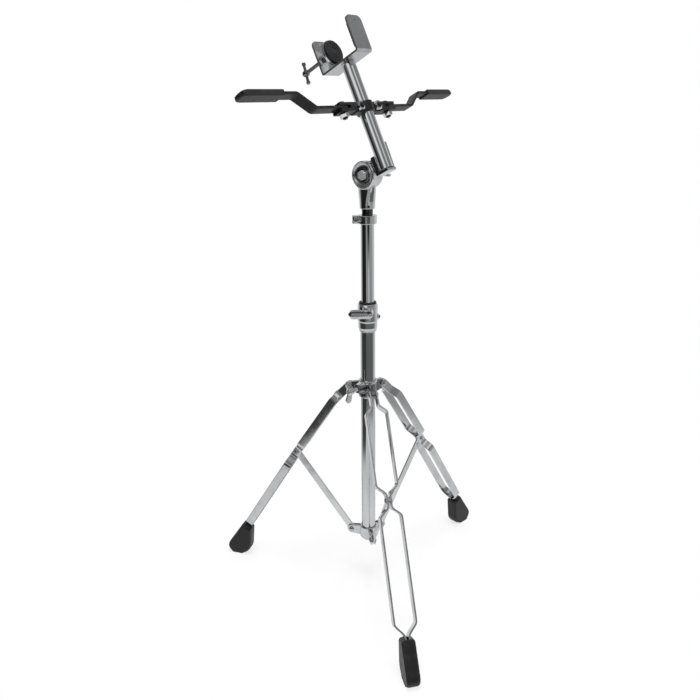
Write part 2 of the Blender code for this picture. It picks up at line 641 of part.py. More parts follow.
def strip_path():
    """Stations down a leg strip: (distance, height, sideways offset)."""
    hinge = Vector(LEG_HINGE)
    bend = Vector(LEG_BEND)
    joint = Vector(LEG_STRUT_JOINT)
    top = Vector(LEG_FOOT)
    first = (bend - hinge).normalized()
    middle = (joint - bend).normalized()
    last = (top - joint).normalized()
    at_lug = COLLAR_LUG_THICKNESS / 2 + GAP + STRIP_THICKNESS / 2
    at_joint = STRUT_THICKNESS / 2 + GAP + STRIP_THICKNESS / 2
    wide = STRIP_SPREAD
    half_width = STRIP_WIDTH / 2
    pinch = STRIP_PINCH_LENGTH
    bow = STRIP_BOW_LENGTH
    stations = []

    def add(point, side, width=1.0):
        stations.append((point.x, point.y, side, width))

    for share in (1.0, 0.85, 0.5):
        add(hinge - first * half_width * share, at_lug, math.sqrt(1 - share ** 2) or 0.12)
    add(hinge, at_lug)
    near_bend = (bend - hinge).length - LEG_BEND_LENGTH
    for share, spread in ((1.0, 0.0), (0.8, 0.15), (0.2, 0.85)):
        along_first = near_bend - TOP_BOW_LENGTH * share
        add(hinge + first * along_first, at_lug + spread * (wide - at_lug))
    ease = LEG_BEND_LENGTH
    for share in (0.0, 0.25, 0.5, 0.75, 1.0):
        before = bend - first * ease * (1 - share)
        after = bend + middle * ease * share
        add(before.lerp(after, share), wide)
    add(joint - middle * (pinch + bow), wide)
    add(joint - middle * (pinch + 0.7 * bow), at_joint + 0.8 * (wide - at_joint))
    add(joint - middle * (pinch + 0.25 * bow), at_joint + 0.18 * (wide - at_joint))
    add(joint - middle * pinch, at_joint)
    add(joint, at_joint)
    add(joint + last * pinch, at_joint)
    add(joint + last * (pinch + 0.25 * bow), at_joint + 0.18 * (wide - at_joint))
    add(joint + last * (pinch + 0.7 * bow), at_joint + 0.8 * (wide - at_joint))
    add(joint + last * (pinch + bow), wide)
    add(top - last * (GAP + FOOT_BOW_LENGTH), wide)
    add(top - last * (GAP + 0.75 * FOOT_BOW_LENGTH), at_joint + 0.85 * (wide - at_joint))
    add(top - last * (GAP + 0.3 * FOOT_BOW_LENGTH), at_joint + 0.2 * (wide - at_joint))
    add(top - last * GAP, at_joint)
    add(top + last * STRIP_IN_FOOT, at_joint)
    return stations


def swept_strip(stations, width, thickness, side):
    """Sweep a flat bar through stations, its flat faces sideways."""
    rings = []
    for i, (x, z, offset, share) in enumerate(stations):
        before = stations[max(i - 1, 0)]
        after = stations[min(i + 1, len(stations) - 1)]
        run = Vector((after[0] - before[0], 0, after[1] - before[1]))
        length = run.length
        run.normalize()
        across = Vector((-run.z, 0, run.x))
        slope = (after[2] - before[2]) / length
        thick = thickness * math.sqrt(1 + slope ** 2) / 2
        half = width * share / 2
        centre = Vector((x, 0, z))
        ring = []
        for a, b in ((-1, -1), (1, -1), (1, 1), (-1, 1)):
            point = centre + across * half * a
            ring.append((point.x, side * offset + thick * b, point.z))
        rings.append(ring)
    return rings_to_bmesh(rings)


def rivet_head(radius, height, sides=SMALL_ROUND):
    """A low domed head standing on z = 0."""
    return turned([(0, 0), (radius, 0), (radius, 0.3 * height), (0.8 * radius, 0.75 * height),
                   (0.4 * radius, height), (0, height)], sides)


def build_leg(stand, number, angle):
    """Two bowed strips, a strut, their pins and a rubber foot."""
    column = frame("leg_%d_plane" % number, stand, (0, 0, 0), (0, 0, angle))
    hinge = frame("leg_%d_hinge" % number, column, (LEG_HINGE[0], 0, LEG_HINGE[1]))
    shift = Matrix.Translation((-LEG_HINGE[0], 0, -LEG_HINGE[1]))
    at_joint = STRUT_THICKNESS / 2 + GAP + STRIP_THICKNESS
    for side, letter in ((-1, "a"), (1, "b")):
        name = "leg_%d_strip_%s" % (number, letter)
        mesh = moved(swept_strip(strip_path(), STRIP_WIDTH, STRIP_THICKNESS, side), shift)
        strip = finish_mesh(name, mesh, "chrome", hinge)
        hole = moved(rod(RIVET_RADIUS + BORE_GAP, -30 * MM, 30 * MM), ALONG_Y)
        cut(strip, hole, hinge)
        head = rivet_head(RIVET_HEAD_RADIUS, RIVET_HEAD + 0.5 * MM)
        spot = (LEG_STRUT_JOINT[0], side * (at_joint - 0.5 * MM), LEG_STRUT_JOINT[1])
        head = moved(head, shift @ along((0, side, 0), spot))
        join(strip, head, hinge)
    build_leg_pin(column, number)
    build_strut(column, number)
    build_foot(hinge, number, shift)


def build_leg_pin(column, number):
    """Rivet through a collar lug and both strips."""
    half = COLLAR_LUG_THICKNESS / 2 + GAP + STRIP_THICKNESS + GAP
    profile = [(0, -half - RIVET_HEAD), (0.5 * RIVET_HEAD_RADIUS, -half - RIVET_HEAD),
               (RIVET_HEAD_RADIUS, -half - 0.4 * RIVET_HEAD), (RIVET_HEAD_RADIUS, -half),
               (RIVET_RADIUS, -half), (RIVET_RADIUS, half), (RIVET_HEAD_RADIUS, half),
               (RIVET_HEAD_RADIUS, half + 0.4 * RIVET_HEAD),
               (0.5 * RIVET_HEAD_RADIUS, half + RIVET_HEAD), (0, half + RIVET_HEAD)]
    place = Matrix.Translation((LEG_HINGE[0], 0, LEG_HINGE[1])) @ ALONG_Y
    finish_mesh("leg_%d_pin" % number, moved(turned(profile, SMALL_ROUND), place), "zinc", column)


def build_strut(column, number):
    """Flat brace from the lower collar to the leg, and its lower pin."""
    hinge = frame("strut_%d_hinge" % number, column, (STRUT_HINGE[0], 0, STRUT_HINGE[1]))
    reach = Vector(LEG_STRUT_JOINT) - Vector(STRUT_HINGE)
    half = STRUT_WIDTH / 2
    outline = arc((reach.length, 0), half, -90, 90, 8) + arc((0, 0), half, 90, 270, 8)
    bar = prism(outline, -STRUT_THICKNESS / 2, STRUT_THICKNESS / 2)
    lean = Matrix.Rotation(-math.atan2(reach.y, reach.x), 4, "Y")
    strut = finish_mesh("leg_%d_strut" % number, moved(bar, lean @ UPRIGHT), "chrome", hinge)
    bevel(strut, 0.5 * MM, 1, 60)
    hole = moved(rod(RIVET_RADIUS + BORE_GAP, -9 * MM, 9 * MM), ALONG_Y)
    cut(strut, hole, hinge)
    hole = moved(rod(RIVET_RADIUS + BORE_GAP, -9 * MM, 9 * MM), ALONG_Y)
    cut(strut, moved(hole, Matrix.Translation((reach.x, 0, reach.y))), hinge)

    grip = STRUT_THICKNESS / 2 + GAP + BASE_EAR_THICKNESS + GAP
    profile = [(0, -grip - RIVET_HEAD), (0.5 * RIVET_HEAD_RADIUS, -grip - RIVET_HEAD),
               (RIVET_HEAD_RADIUS, -grip - 0.4 * RIVET_HEAD), (RIVET_HEAD_RADIUS, -grip),
               (RIVET_RADIUS, -grip), (RIVET_RADIUS, grip), (RIVET_HEAD_RADIUS, grip),
               (RIVET_HEAD_RADIUS, grip + 0.4 * RIVET_HEAD),
               (0.5 * RIVET_HEAD_RADIUS, grip + RIVET_HEAD), (0, grip + RIVET_HEAD)]
    place = Matrix.Translation((STRUT_HINGE[0], 0, STRUT_HINGE[1])) @ ALONG_Y
    pin = moved(turned(profile, SMALL_ROUND), place)
    finish_mesh("strut_%d_pin" % number, pin, "zinc", column)


def rounded(corners, steps=7):
    """Outline through corners (x, y, radius), each rounded by an arc."""
    points = []
    count = len(corners)
    for i, (x, y, radius) in enumerate(corners):
        corner = Vector((x, y))
        before = (Vector(corners[i - 1][:2]) - corner).normalized()
        after = (Vector(corners[(i + 1) % count][:2]) - corner).normalized()
        half = before.angle(after) / 2
        centre = corner + (before + after).normalized() * radius / math.sin(half)
        reach = radius / math.tan(half)
        start = corner + before * reach - centre
        end = corner + after * reach - centre
        turn = start.angle_signed(end)
        for k in range(steps + 1):
            angle = math.atan2(start.y, start.x) - turn * k / steps
            points.append((centre.x + radius * math.cos(angle),
                           centre.y + radius * math.sin(angle)))
    return points


def build_foot(hinge, number, shift):
    """Rubber boot: narrow where the leg enters, swelling to a flat sole."""
    outline = rounded(foot_corners())
    half = FOOT_THICKNESS / 2
    edge = FOOT_EDGE
    middle = Vector((sum(p[0] for p in outline), sum(p[1] for p in outline))) / len(outline)
    rings = []
    for level, inset in ((-half, edge), (0.3 * edge - half, 0.3 * edge), (edge - half, 0),
                         (half - edge, 0), (half - 0.3 * edge, 0.3 * edge), (half, edge)):
        ring = []
        for x, z in outline:
            pull = (middle - Vector((x, z))).normalized() * inset
            lift = pull.y if z > FOOT_SOLE_EDGE else 0.0
            ring.append((x + pull.x, level, z + lift))
        rings.append(ring)
    foot = finish_mesh("leg_%d_foot" % number, moved(rings_to_bmesh(rings), shift),
                       "black_rubber", hinge)
    down = leg_direction()
    pocket_half = STRIP_WIDTH / 2 + BORE_GAP
    side_half = STRUT_THICKNESS / 2 + GAP + STRIP_THICKNESS + BORE_GAP
    depth = STRIP_IN_FOOT + GAP
    pocket = box((-20 * MM, -side_half, -pocket_half), (depth, side_half, pocket_half))
    lean = Matrix.Rotation(-math.atan2(down.y, down.x), 4, "Y")
    place = shift @ Matrix.Translation((LEG_FOOT[0], 0, LEG_FOOT[1])) @ lean
    cut(foot, moved(pocket, place), hinge)


def build_leg_collar(stand):
    """Sliding collar with three hinge lugs and a boss for its wing bolt."""
    bore = LOWER_TUBE_RADIUS + BORE_GAP
    edge = 1.2 * MM
    profile = [(bore, COLLAR_BOTTOM), (COLLAR_RADIUS - edge, COLLAR_BOTTOM),
               (COLLAR_RADIUS, COLLAR_BOTTOM + edge), (COLLAR_RADIUS, COLLAR_TOP - edge),
               (COLLAR_RADIUS - edge, COLLAR_TOP), (bore, COLLAR_TOP)]
    collar_axis = frame("leg_collar_axis", stand)
    collar = finish_mesh("leg_collar", turned(profile), "chrome", collar_axis)
    inside = bore + 0.8 * MM
    for angle in LEG_ANGLES:
        turn = Matrix.Rotation(math.radians(angle), 4, "Z")
        outline = arc(LEG_HINGE, COLLAR_LUG_RADIUS, -90, 90, 8)
        outline += [(inside, COLLAR_TOP - 3 * MM), (inside, COLLAR_BOTTOM + 1 * MM)]
        lug = prism(outline, -COLLAR_LUG_THICKNESS / 2, COLLAR_LUG_THICKNESS / 2)
        join(collar, moved(lug, turn @ UPRIGHT))
        hole = moved(rod(RIVET_RADIUS + BORE_GAP, -15 * MM, 15 * MM), ALONG_Y)
        spot = Matrix.Translation((LEG_HINGE[0], 0, LEG_HINGE[1]))
        cut(collar, moved(hole, turn @ spot))
    line = along(radial(WING_BOLT_ANGLE), (0, 0, WING_BOLT_HEIGHT))
    boss = turned([(0, inside), (WING_BOSS_ROOT_RADIUS, inside),
                   (WING_BOSS_RADIUS, WING_BOSS_REACH - 1.5 * MM),
                   (WING_BOSS_RADIUS - 1.5 * MM, WING_BOSS_REACH), (0, WING_BOSS_REACH)], 20)
    join(collar, moved(boss, line))
    cut(collar, moved(rod(WING_SHANK_RADIUS + BORE_GAP, 0, 2 * WING_BOSS_REACH), line))


def wing(root, reach, low, high, thickness):
    """One wing of a wing nut or bolt, as an outline in XZ with height along Y."""
    swell = 0.5 * (high - low)
    outline = [(0, low), (root, low)]
    outline += arc((reach - swell, high - swell + 1.5 * MM), swell, -60, 110, 7)
    outline += [(root, high - 2.5 * MM), (0, high - 2.5 * MM)]
    return moved(prism(outline, -thickness / 2, thickness / 2), UPRIGHT)


def build_wing_bolt(stand):
    """Wing bolt that locks the leg collar on the tube."""
    axis_frame = frame("wing_bolt_axis", stand, (0, 0, WING_BOLT_HEIGHT), (0, 90, WING_BOLT_ANGLE))
    start = LOWER_TUBE_RADIUS + GAP
    end = WING_HUB_START + WING_HUB_LENGTH
    profile = [(0, start), (WING_SHANK_RADIUS, start), (WING_SHANK_RADIUS, WING_HUB_START),
               (WING_HUB_RADIUS, WING_HUB_START), (WING_HUB_RADIUS, end - 3 * MM),
               (WING_HUB_RADIUS - 2 * MM, end), (0, end)]
    bolt = finish_mesh("collar_wing_bolt", turned(profile, 20), "chrome", axis_frame)
    for turn in (0, 180):
        blade = wing(WING_HUB_RADIUS - 1 * MM, WING_SPAN / 2, WING_HUB_START + 1.5 * MM,
                     end + 2.5 * MM, WING_THICKNESS)
        join(bolt, moved(blade, Matrix.Rotation(math.radians(turn), 4, "Z")), axis_frame)


def build_lower_collar(stand):
    """Fixed collar at the tube's foot, with a pair of ears for each strut."""
    bore = LOWER_TUBE_RADIUS + BORE_GAP
    edge = 1.0 * MM
    profile = [(bore, BASE_COLLAR_BOTTOM), (BASE_COLLAR_RADIUS - edge, BASE_COLLAR_BOTTOM),
               (BASE_COLLAR_RADIUS, BASE_COLLAR_BOTTOM + edge),
               (BASE_COLLAR_RADIUS, BASE_COLLAR_TOP - edge),
               (BASE_COLLAR_RADIUS - edge, BASE_COLLAR_TOP), (bore, BASE_COLLAR_TOP)]
    collar = finish_mesh("lower_collar", turned(profile), "chrome", stand)
    inside = bore + 0.6 * MM
    inner_face = STRUT_THICKNESS / 2 + GAP
    outer_face = inner_face + BASE_EAR_THICKNESS
    for angle in LEG_ANGLES:
        turn = Matrix.Rotation(math.radians(angle), 4, "Z")
        outline = arc(STRUT_HINGE, BASE_EAR_RADIUS, -90, 90, 8)
        outline += [(inside, BASE_COLLAR_TOP - 2 * MM), (inside, BASE_COLLAR_BOTTOM + 1 * MM)]
        for low in (-outer_face, inner_face):
            ear = prism(outline, low, low + BASE_EAR_THICKNESS)
            join(collar, moved(ear, turn @ UPRIGHT))
        hole = moved(rod(RIVET_RADIUS + BORE_GAP, -15 * MM, 15 * MM), ALONG_Y)
        spot = Matrix.Translation((STRUT_HINGE[0], 0, STRUT_HINGE[1]))
        cut(collar, moved(hole, turn @ spot))


# Tilter

def build_tilter(stem):
    """Stem, lower casting with its round eye, bolt, washer and wing nut."""
    mesh = tube(STEM_RADIUS, STEM_RADIUS - STEM_WALL, STEM_BOTTOM, TILTER_SOCKET_TOP - GAP)
    finish_mesh("stem_tube", mesh, "dark_chrome", stem)
    build_tilter_base(stem)
    pivot = frame("tilter_pivot", stem, (0, 0, PIVOT_HEIGHT))
    build_tilter_bolt(pivot)
    build_tilter_nut(pivot)
    return pivot


def build_tilter_base(stem):
    """Casting that plugs on the stem and ends in an eye on the near side."""
    sections = []
    sides = 28
    middle = (TILTER_SHOULDER_NEAR + TILTER_SHOULDER_FAR) / 2
    depth = (TILTER_SHOULDER_FAR - TILTER_SHOULDER_NEAR) / 2
    for share, height in ((0.0, TILTER_BOTTOM), (0.15, TILTER_BOTTOM + 12 * MM),
                          (1.0, TILTER_SHOULDER), (1.0, PIVOT_HEIGHT - 4 * MM)):
        ring = []
        for i in range(sides):
            angle = 2 * math.pi * i / sides
            c = math.cos(angle)
            s = math.sin(angle)
            wide = TILTER_NECK_RADIUS + share * (TILTER_SHOULDER_HALF_X - TILTER_NECK_RADIUS)
            deep = TILTER_NECK_RADIUS + share * (depth - TILTER_NECK_RADIUS)
            ring.append((wide * c, share * middle + deep * s, height))
        sections.append(ring)
    base = finish_mesh("tilter_base", rings_to_bmesh(sections), "chrome", stem)
    pivot = Matrix.Translation((0, 0, PIVOT_HEIGHT))
    near = TILTER_EYE_NEAR
    rim = TILTER_EYE_RIM
    bore = TILTER_BOLT_RADIUS + BORE_GAP
    floor = near + TILTER_RECESS_DEPTH
    clear = (TILTER_EYE_RADIUS + TILTER_RECESS_RADIUS) / 2
    cut(base, rod(STEM_RADIUS + BORE_GAP, TILTER_BOTTOM - 10 * MM, TILTER_SOCKET_TOP, 0, ROUND))
    cut(base, moved(rod(clear, -40 * MM, 40 * MM, 0, ROUND), pivot @ ALONG_Y))
    eye = turned([(bore, 0.5 * MM), (TILTER_EYE_RADIUS, 0.5 * MM),
                  (TILTER_EYE_RADIUS, near + rim), (TILTER_EYE_RADIUS - 0.3 * rim, near + 0.3 * rim),
                  (TILTER_EYE_RADIUS - rim, near), (TILTER_RECESS_RADIUS + 0.8 * MM, near),
                  (TILTER_RECESS_RADIUS, floor), (bore, floor)], ROUND)
    join(base, moved(eye, pivot @ ALONG_Y))
    # Room for the arm bracket's eye on the far side
    relief = rod(TILTER_EYE_RADIUS + 1 * MM, -GAP, 40 * MM, 0, ROUND)
    cut(base, moved(relief, pivot @ ALONG_Y))


def build_tilter_bolt(pivot):
    """Pivot bolt with a hexagon head in the recess, and its washer."""
    floor = TILTER_EYE_NEAR + TILTER_RECESS_DEPTH
    washer_near = floor - GAP - TILTER_WASHER
    washer = tube(TILTER_WASHER_RADIUS, TILTER_BOLT_RADIUS + BORE_GAP, washer_near, floor - GAP, 24)
    finish_mesh("tilter_washer", moved(washer, ALONG_Y), "chrome", pivot)
    seat = washer_near - GAP
    end = TILTER_NUT_START + TILTER_NUT_LENGTH + 3 * MM
    bolt = finish_mesh("tilter_bolt", moved(rod(TILTER_BOLT_RADIUS, seat - 1 * MM, end, 0.6 * MM),
                                            ALONG_Y), "chrome", pivot)
    head = prism(hexagon(TILTER_BOLT_HEAD_FLAT), seat - TILTER_BOLT_HEAD, seat)
    join(bolt, moved(head, ALONG_Y))


def build_tilter_nut(pivot):
    """Wing nut on the far side of the tilter."""
    axis_frame = frame("tilter_nut_axis", pivot, (0, 0, 0), (-90, TILTER_NUT_TILT, 0))
    bore = TILTER_BOLT_RADIUS + BORE_GAP
    start = TILTER_NUT_START
    end = start + TILTER_NUT_LENGTH
    profile = [(bore, start), (TILTER_NUT_RADIUS + 1.2 * MM, start),
               (TILTER_NUT_RADIUS + 1.2 * MM, start + 1.5 * MM),
               (TILTER_NUT_RADIUS, start + 2.5 * MM), (TILTER_NUT_RADIUS - 1.2 * MM, end),
               (bore, end)]
    nut = finish_mesh("tilter_wing_nut", turned(profile, 24), "chrome", axis_frame)
    for turn in (0, 180):
        blade = wing(TILTER_NUT_RADIUS - 1 * MM, TILTER_NUT_SPAN / 2, start + 3 * MM,
                     end + 3 * MM, WING_THICKNESS)
        join(nut, moved(blade, Matrix.Rotation(math.radians(turn), 4, "Z")), axis_frame)
    hole = rod(bore, start - 5 * MM, end + 10 * MM)
    cut(nut, hole, axis_frame)


# Arm

def build_arm(arm):
    """Bracket, arm tube and the U-shaped yoke that holds the drum block."""
    build_bracket(arm)
    bottom = BRACKET_BASE_TOP + GAP
    top = YOKE_UNDERSIDE - GAP
    mesh = tube(ARM_TUBE_RADIUS, ARM_TUBE_RADIUS - ARM_TUBE_WALL, bottom, top)
    finish_mesh("arm_tube", moved(mesh, arm_axis()), "chrome", arm)
    build_yoke(arm)
    build_screw(arm)
    build_disc(arm)
    low = (YOKE_RIGHT - YOKE_PLATE - GAP - JAW_PAD, -JAW_PAD_HALF, JAW_PAD_BOTTOM)
    high = (YOKE_RIGHT - YOKE_PLATE - GAP, JAW_PAD_HALF, JAW_PAD_TOP)
    pad = finish_mesh("jaw_pad", box(low, high), "black_rubber", arm)
    bevel(pad, 0.8 * MM)


def arm_axis(height=0.0):
    """The arm tube's centre line, in the arm's frame."""
    return Matrix.Translation((ARM_OFFSET, 0, height))


def build_bracket(arm):
    """Upper casting: eye on the pivot, neck, and a saddle for the arm tube."""
    eye = turned([(TILTER_BOLT_RADIUS + BORE_GAP, GAP), (BRACKET_EYE_RADIUS - 0.8 * MM, GAP),
                  (BRACKET_EYE_RADIUS, GAP + 0.8 * MM),
                  (BRACKET_EYE_RADIUS, BRACKET_FAR - 1.5 * MM),
                  (BRACKET_EYE_RADIUS - 1.5 * MM, BRACKET_FAR),
                  (TILTER_BOLT_RADIUS + BORE_GAP, BRACKET_FAR)], ROUND)
    bracket = finish_mesh("arm_bracket", moved(eye, ALONG_Y), "chrome", arm)
    tube_left = ARM_OFFSET - ARM_TUBE_RADIUS - GAP
    cheek_left = BRACKET_CHEEK_LEFT
    plate_near = ARM_TUBE_RADIUS + GAP
    neck = box((12 * MM, 2 * GAP, BRACKET_BASE_BOTTOM + 3 * MM),
               (tube_left - 2 * MM, BRACKET_FAR - 0.5 * MM, BRACKET_CHEEK_TOP - 0.5 * MM))
    join(bracket, neck)
    saddle = [(cheek_left, BRACKET_BASE_BOTTOM), (BRACKET_RIGHT, BRACKET_BASE_BOTTOM),
              (BRACKET_RIGHT, BRACKET_BASE_TOP), (tube_left, BRACKET_BASE_TOP),
              (tube_left, BRACKET_CHEEK_TOP), (cheek_left, BRACKET_CHEEK_TOP)]
    join(bracket, moved(prism(saddle, 1 * MM - BRACKET_FAR, -BRACKET_NEAR), UPRIGHT))
    outline = [(tube_left - 2 * MM, BRACKET_BASE_BOTTOM + 1 * MM),
               (BRACKET_RIGHT - 2 * MM, BRACKET_BASE_BOTTOM + 1 * MM),
               (BRACKET_RIGHT - 1 * MM, BRACKET_PLATE_TOP - 3 * MM),
               (BRACKET_RIGHT - 5 * MM, BRACKET_PLATE_TOP),
               (tube_left + 4 * MM, BRACKET_CHEEK_TOP + 6 * MM),
               (tube_left - 2 * MM, BRACKET_CHEEK_TOP - 1 * MM)]
    plate = moved(prism(outline, -BRACKET_FAR, -plate_near), UPRIGHT)
    join(bracket, plate)


def yoke_outline():
    """Bent-plate outline in XZ: up one flange, across and up the other."""
    steps = 4
    left = YOKE_LEFT
    right = YOKE_RIGHT
    under = YOKE_UNDERSIDE
    inner = YOKE_BEND - YOKE_PLATE
    outline = [(left, YOKE_TOP)]
    outline += arc((left + YOKE_BEND, under + YOKE_BEND), YOKE_BEND, 180, 270, steps)
    outline += arc((right - YOKE_BEND, under + YOKE_BEND), YOKE_BEND, 270, 360, steps)
    outline += [(right, YOKE_TOP), (right - YOKE_PLATE, YOKE_TOP)]
    outline += arc((right - YOKE_BEND, under + YOKE_BEND), inner, 360, 270, steps)
    outline += arc((left + YOKE_BEND, under + YOKE_BEND), inner, 270, 180, steps)
    outline += [(left + YOKE_PLATE, YOKE_TOP)]
    return outline


def build_yoke(arm):
    """Chrome U-bracket with rounded flange corners, and its weld nut."""
    half = YOKE_HALF_WIDTH
    mesh = moved(prism(yoke_outline(), -half, half), UPRIGHT)
    yoke = finish_mesh("u_bracket", mesh, "chrome", arm)
    corner = YOKE_CORNER
    face = [(-half - 1 * MM, YOKE_UNDERSIDE - 1 * MM), (half + 1 * MM, YOKE_UNDERSIDE - 1 * MM)]
    face += [(half + 1 * MM, YOKE_TOP - corner)]
    face += arc((half - corner, YOKE_TOP - corner), corner, 0, 90, 6)
    face += arc((corner - half, YOKE_TOP - corner), corner, 90, 180, 6)
    face += [(-half - 1 * MM, YOKE_TOP - corner)]
    envelope = prism(face, YOKE_LEFT - 5 * MM, YOKE_RIGHT + 5 * MM)
    # The outline's x runs along Y, its y up, its height along X
    turn = Matrix(((0, 0, 1, 0), (1, 0, 0, 0), (0, 1, 0, 0), (0, 0, 0, 1)))
    boolean(yoke, moved(envelope, turn), "INTERSECT")
    screw_hole = rod(SCREW_RADIUS + BORE_GAP, YOKE_LEFT - 5 * MM, YOKE_LEFT + 10 * MM)
    cut(yoke, moved(screw_hole, Matrix.Translation((0, 0, SCREW_HEIGHT)) @ ALONG_X))
    hang_hole = rod(YOKE_HOLE_RADIUS, YOKE_LEFT - 5 * MM, YOKE_RIGHT + 5 * MM, 0, 12)
    height = YOKE_TOP - YOKE_HOLE_DROP
    cut(yoke, moved(hang_hole, Matrix.Translation((0, 0, height)) @ ALONG_X))

    start = YOKE_LEFT + YOKE_PLATE + GAP
    nut = moved(prism(hexagon(WELD_NUT_FLAT), start, start + WELD_NUT_LENGTH),
                Matrix.Translation((0, 0, SCREW_HEIGHT)) @ ALONG_X)
    nut = finish_mesh("weld_nut", nut, "chrome", arm)
    bore = rod(SCREW_RADIUS + BORE_GAP, start - 5 * MM, start + 20 * MM)
    cut(nut, moved(bore, Matrix.Translation((0, 0, SCREW_HEIGHT)) @ ALONG_X))


def build_screw(arm):
    """Clamp screw with a cross hub and a sliding T-handle bar."""
    axis_frame = frame("clamp_screw_axis", arm, (0, 0, SCREW_HEIGHT))
    tip = DISC_FACE - DISC_RUBBER - GAP - CUP_PLATE - GAP
    hub = SCREW_HUB_AT
    profile = [(0, hub - SCREW_HUB_HALF), (0.6 * SCREW_HUB_RADIUS, hub - SCREW_HUB_HALF),
               (SCREW_HUB_RADIUS, hub - 0.5 * SCREW_HUB_HALF),
               (SCREW_HUB_RADIUS, hub + 0.7 * SCREW_HUB_HALF),
               (SCREW_RADIUS, hub + SCREW_HUB_HALF),
               (SCREW_RADIUS, tip - 1 * MM), (SCREW_RADIUS - 1 * MM, tip), (0, tip)]
    screw = finish_mesh("clamp_screw", moved(turned(profile, 20), ALONG_X), "dark_chrome", axis_frame)
    turn = Matrix.Rotation(math.radians(HANDLE_TURN), 4, "X")
    place = Matrix.Translation((hub, 0, 0)) @ turn
    cut(screw, moved(rod(HANDLE_RADIUS + BORE_GAP, -20 * MM, 20 * MM, 0, 20), place), axis_frame)

    half = HANDLE_LENGTH / 2
    knob = HANDLE_RADIUS + 1.0 * MM
    profile = [(0, -half), (knob - 0.8 * MM, -half), (knob, 0.8 * MM - half),
               (knob, 3.5 * MM - half), (HANDLE_RADIUS, 4.5 * MM - half),
               (HANDLE_RADIUS, half - 4.5 * MM), (knob, half - 3.5 * MM),
               (knob, half - 0.8 * MM), (knob - 0.8 * MM, half), (0, half)]
    finish_mesh("t_handle", moved(turned(profile, SMALL_ROUND), place), "chrome", axis_frame)


def build_disc(arm):
    """Chrome cup on the screw's end with a rubber disc in it."""
    disc_frame = frame("disc_axis", arm, (0, 0, SCREW_HEIGHT))
    back = DISC_FACE - DISC_RUBBER - GAP
    front = back - CUP_PLATE
    rim = DISC_RADIUS + BORE_GAP + CUP_RIM
    bore = SCREW_RADIUS + BORE_GAP
    profile = [(bore, front - CUP_HUB), (CUP_HUB_RADIUS, front - CUP_HUB),
               (CUP_HUB_RADIUS, front), (rim, front), (rim, back + CUP_RIM_DEPTH),
               (rim - CUP_RIM, back + CUP_RIM_DEPTH), (rim - CUP_RIM, back),
               (0, back), (0, front), (bore, front)]
    finish_mesh("pressure_cup", moved(turned(profile), ALONG_X), "chrome", disc_frame)
    start = back + GAP
    edge = 0.8 * MM
    profile = [(0, start), (DISC_RADIUS, start), (DISC_RADIUS, DISC_FACE - edge),
               (DISC_RADIUS - edge, DISC_FACE), (0, DISC_FACE)]
    finish_mesh("pressure_pad", moved(turned(profile), ALONG_X), "black_rubber", disc_frame)


# Support arms

def build_support_arms(arm):
    """Split clamp on the arm tube and the two padded arms it carries."""
    clamp = frame("arm_clamp_axis", arm, (ARM_OFFSET, 0, ARM_CLAMP_HEIGHT))
    build_clamp_half(clamp, "arm_clamp_back", -1)
    build_clamp_half(clamp, "arm_clamp_front", 1)
    for side, word in ((-1, "left"), (1, "right")):
        build_clamp_bolt(clamp, side, word)
        pivot = frame("support_%s_pivot" % word, clamp, (0, side * ARM_PIVOT_AT, 0))
        build_support_arm(pivot, side, word)
        build_pivot_bolt(pivot, word)


def build_clamp_half(clamp, name, facing):
    """Half a ring with two ears; the back half also carries two forks."""
    inner = ARM_TUBE_RADIUS + BORE_GAP
    outer = inner + ARM_CLAMP_WALL
    half = ARM_CLAMP_RING_HALF
    split = ARM_CLAMP_SPLIT / 2
    open_angle = math.degrees(math.asin(split / inner))
    outline = arc((0, 0), outer, -90 + open_angle, 90 - open_angle, 14)
    outline += arc((0, 0), inner, 90 - open_angle, -90 + open_angle, 14)
    piece = finish_mesh(name, prism([(facing * x, y) for x, y in outline], -half, half),
                        "black_paint", clamp)
    reach = split + ARM_CLAMP_EAR
    for side in (-1, 1):
        ear_root = inner + 1 * MM
        xs = sorted((facing * split, facing * reach))
        ys = sorted((side * ear_root, side * ARM_CLAMP_EAR_END))
        join(piece, box((xs[0], ys[0], -half), (xs[1], ys[1], half)))
        if facing < 0:
            join_fork(piece, side)
        hole = rod(M8_RADIUS + BORE_GAP, -40 * MM, 40 * MM)
        cut(piece, moved(hole, Matrix.Translation((0, side * ARM_CLAMP_BOLT_AT, 0)) @ ALONG_X))
    return piece


def join_fork(piece, side):
    """Block beside an ear, slotted for the arm's flat end."""
    rise = ARM_CLAMP_BLOCK_RISE
    half = ARM_CLAMP_BLOCK_HALF
    ys = sorted((side * (ARM_CLAMP_BLOCK_START - 1 * MM), side * ARM_CLAMP_BLOCK_END))
    join(piece, box((-half, ys[0], -rise), (half, ys[1], rise)))
    slot = ARM_BAR_THICKNESS / 2 + GAP
    floor = ARM_PIVOT_AT - ARM_BAR_HALF - 2 * MM
    ys = sorted((side * floor, side * (ARM_CLAMP_BLOCK_END + 10 * MM)))
    cut(piece, box((-2 * half, ys[0], -slot), (2 * half, ys[1], slot)))
    front_gap = ARM_CLAMP_EAR_END + GAP
    ys = sorted((side * (ARM_CLAMP_BLOCK_START - 3 * MM), side * front_gap))
    cut(piece, box((-ARM_CLAMP_SPLIT / 2, ys[0], -2 * rise), (2 * half, ys[1], 2 * rise)))
    hole = rod(M8_RADIUS + BORE_GAP, -40 * MM, 40 * MM)
    cut(piece, moved(hole, Matrix.Translation((0, side * ARM_PIVOT_AT, 0))))


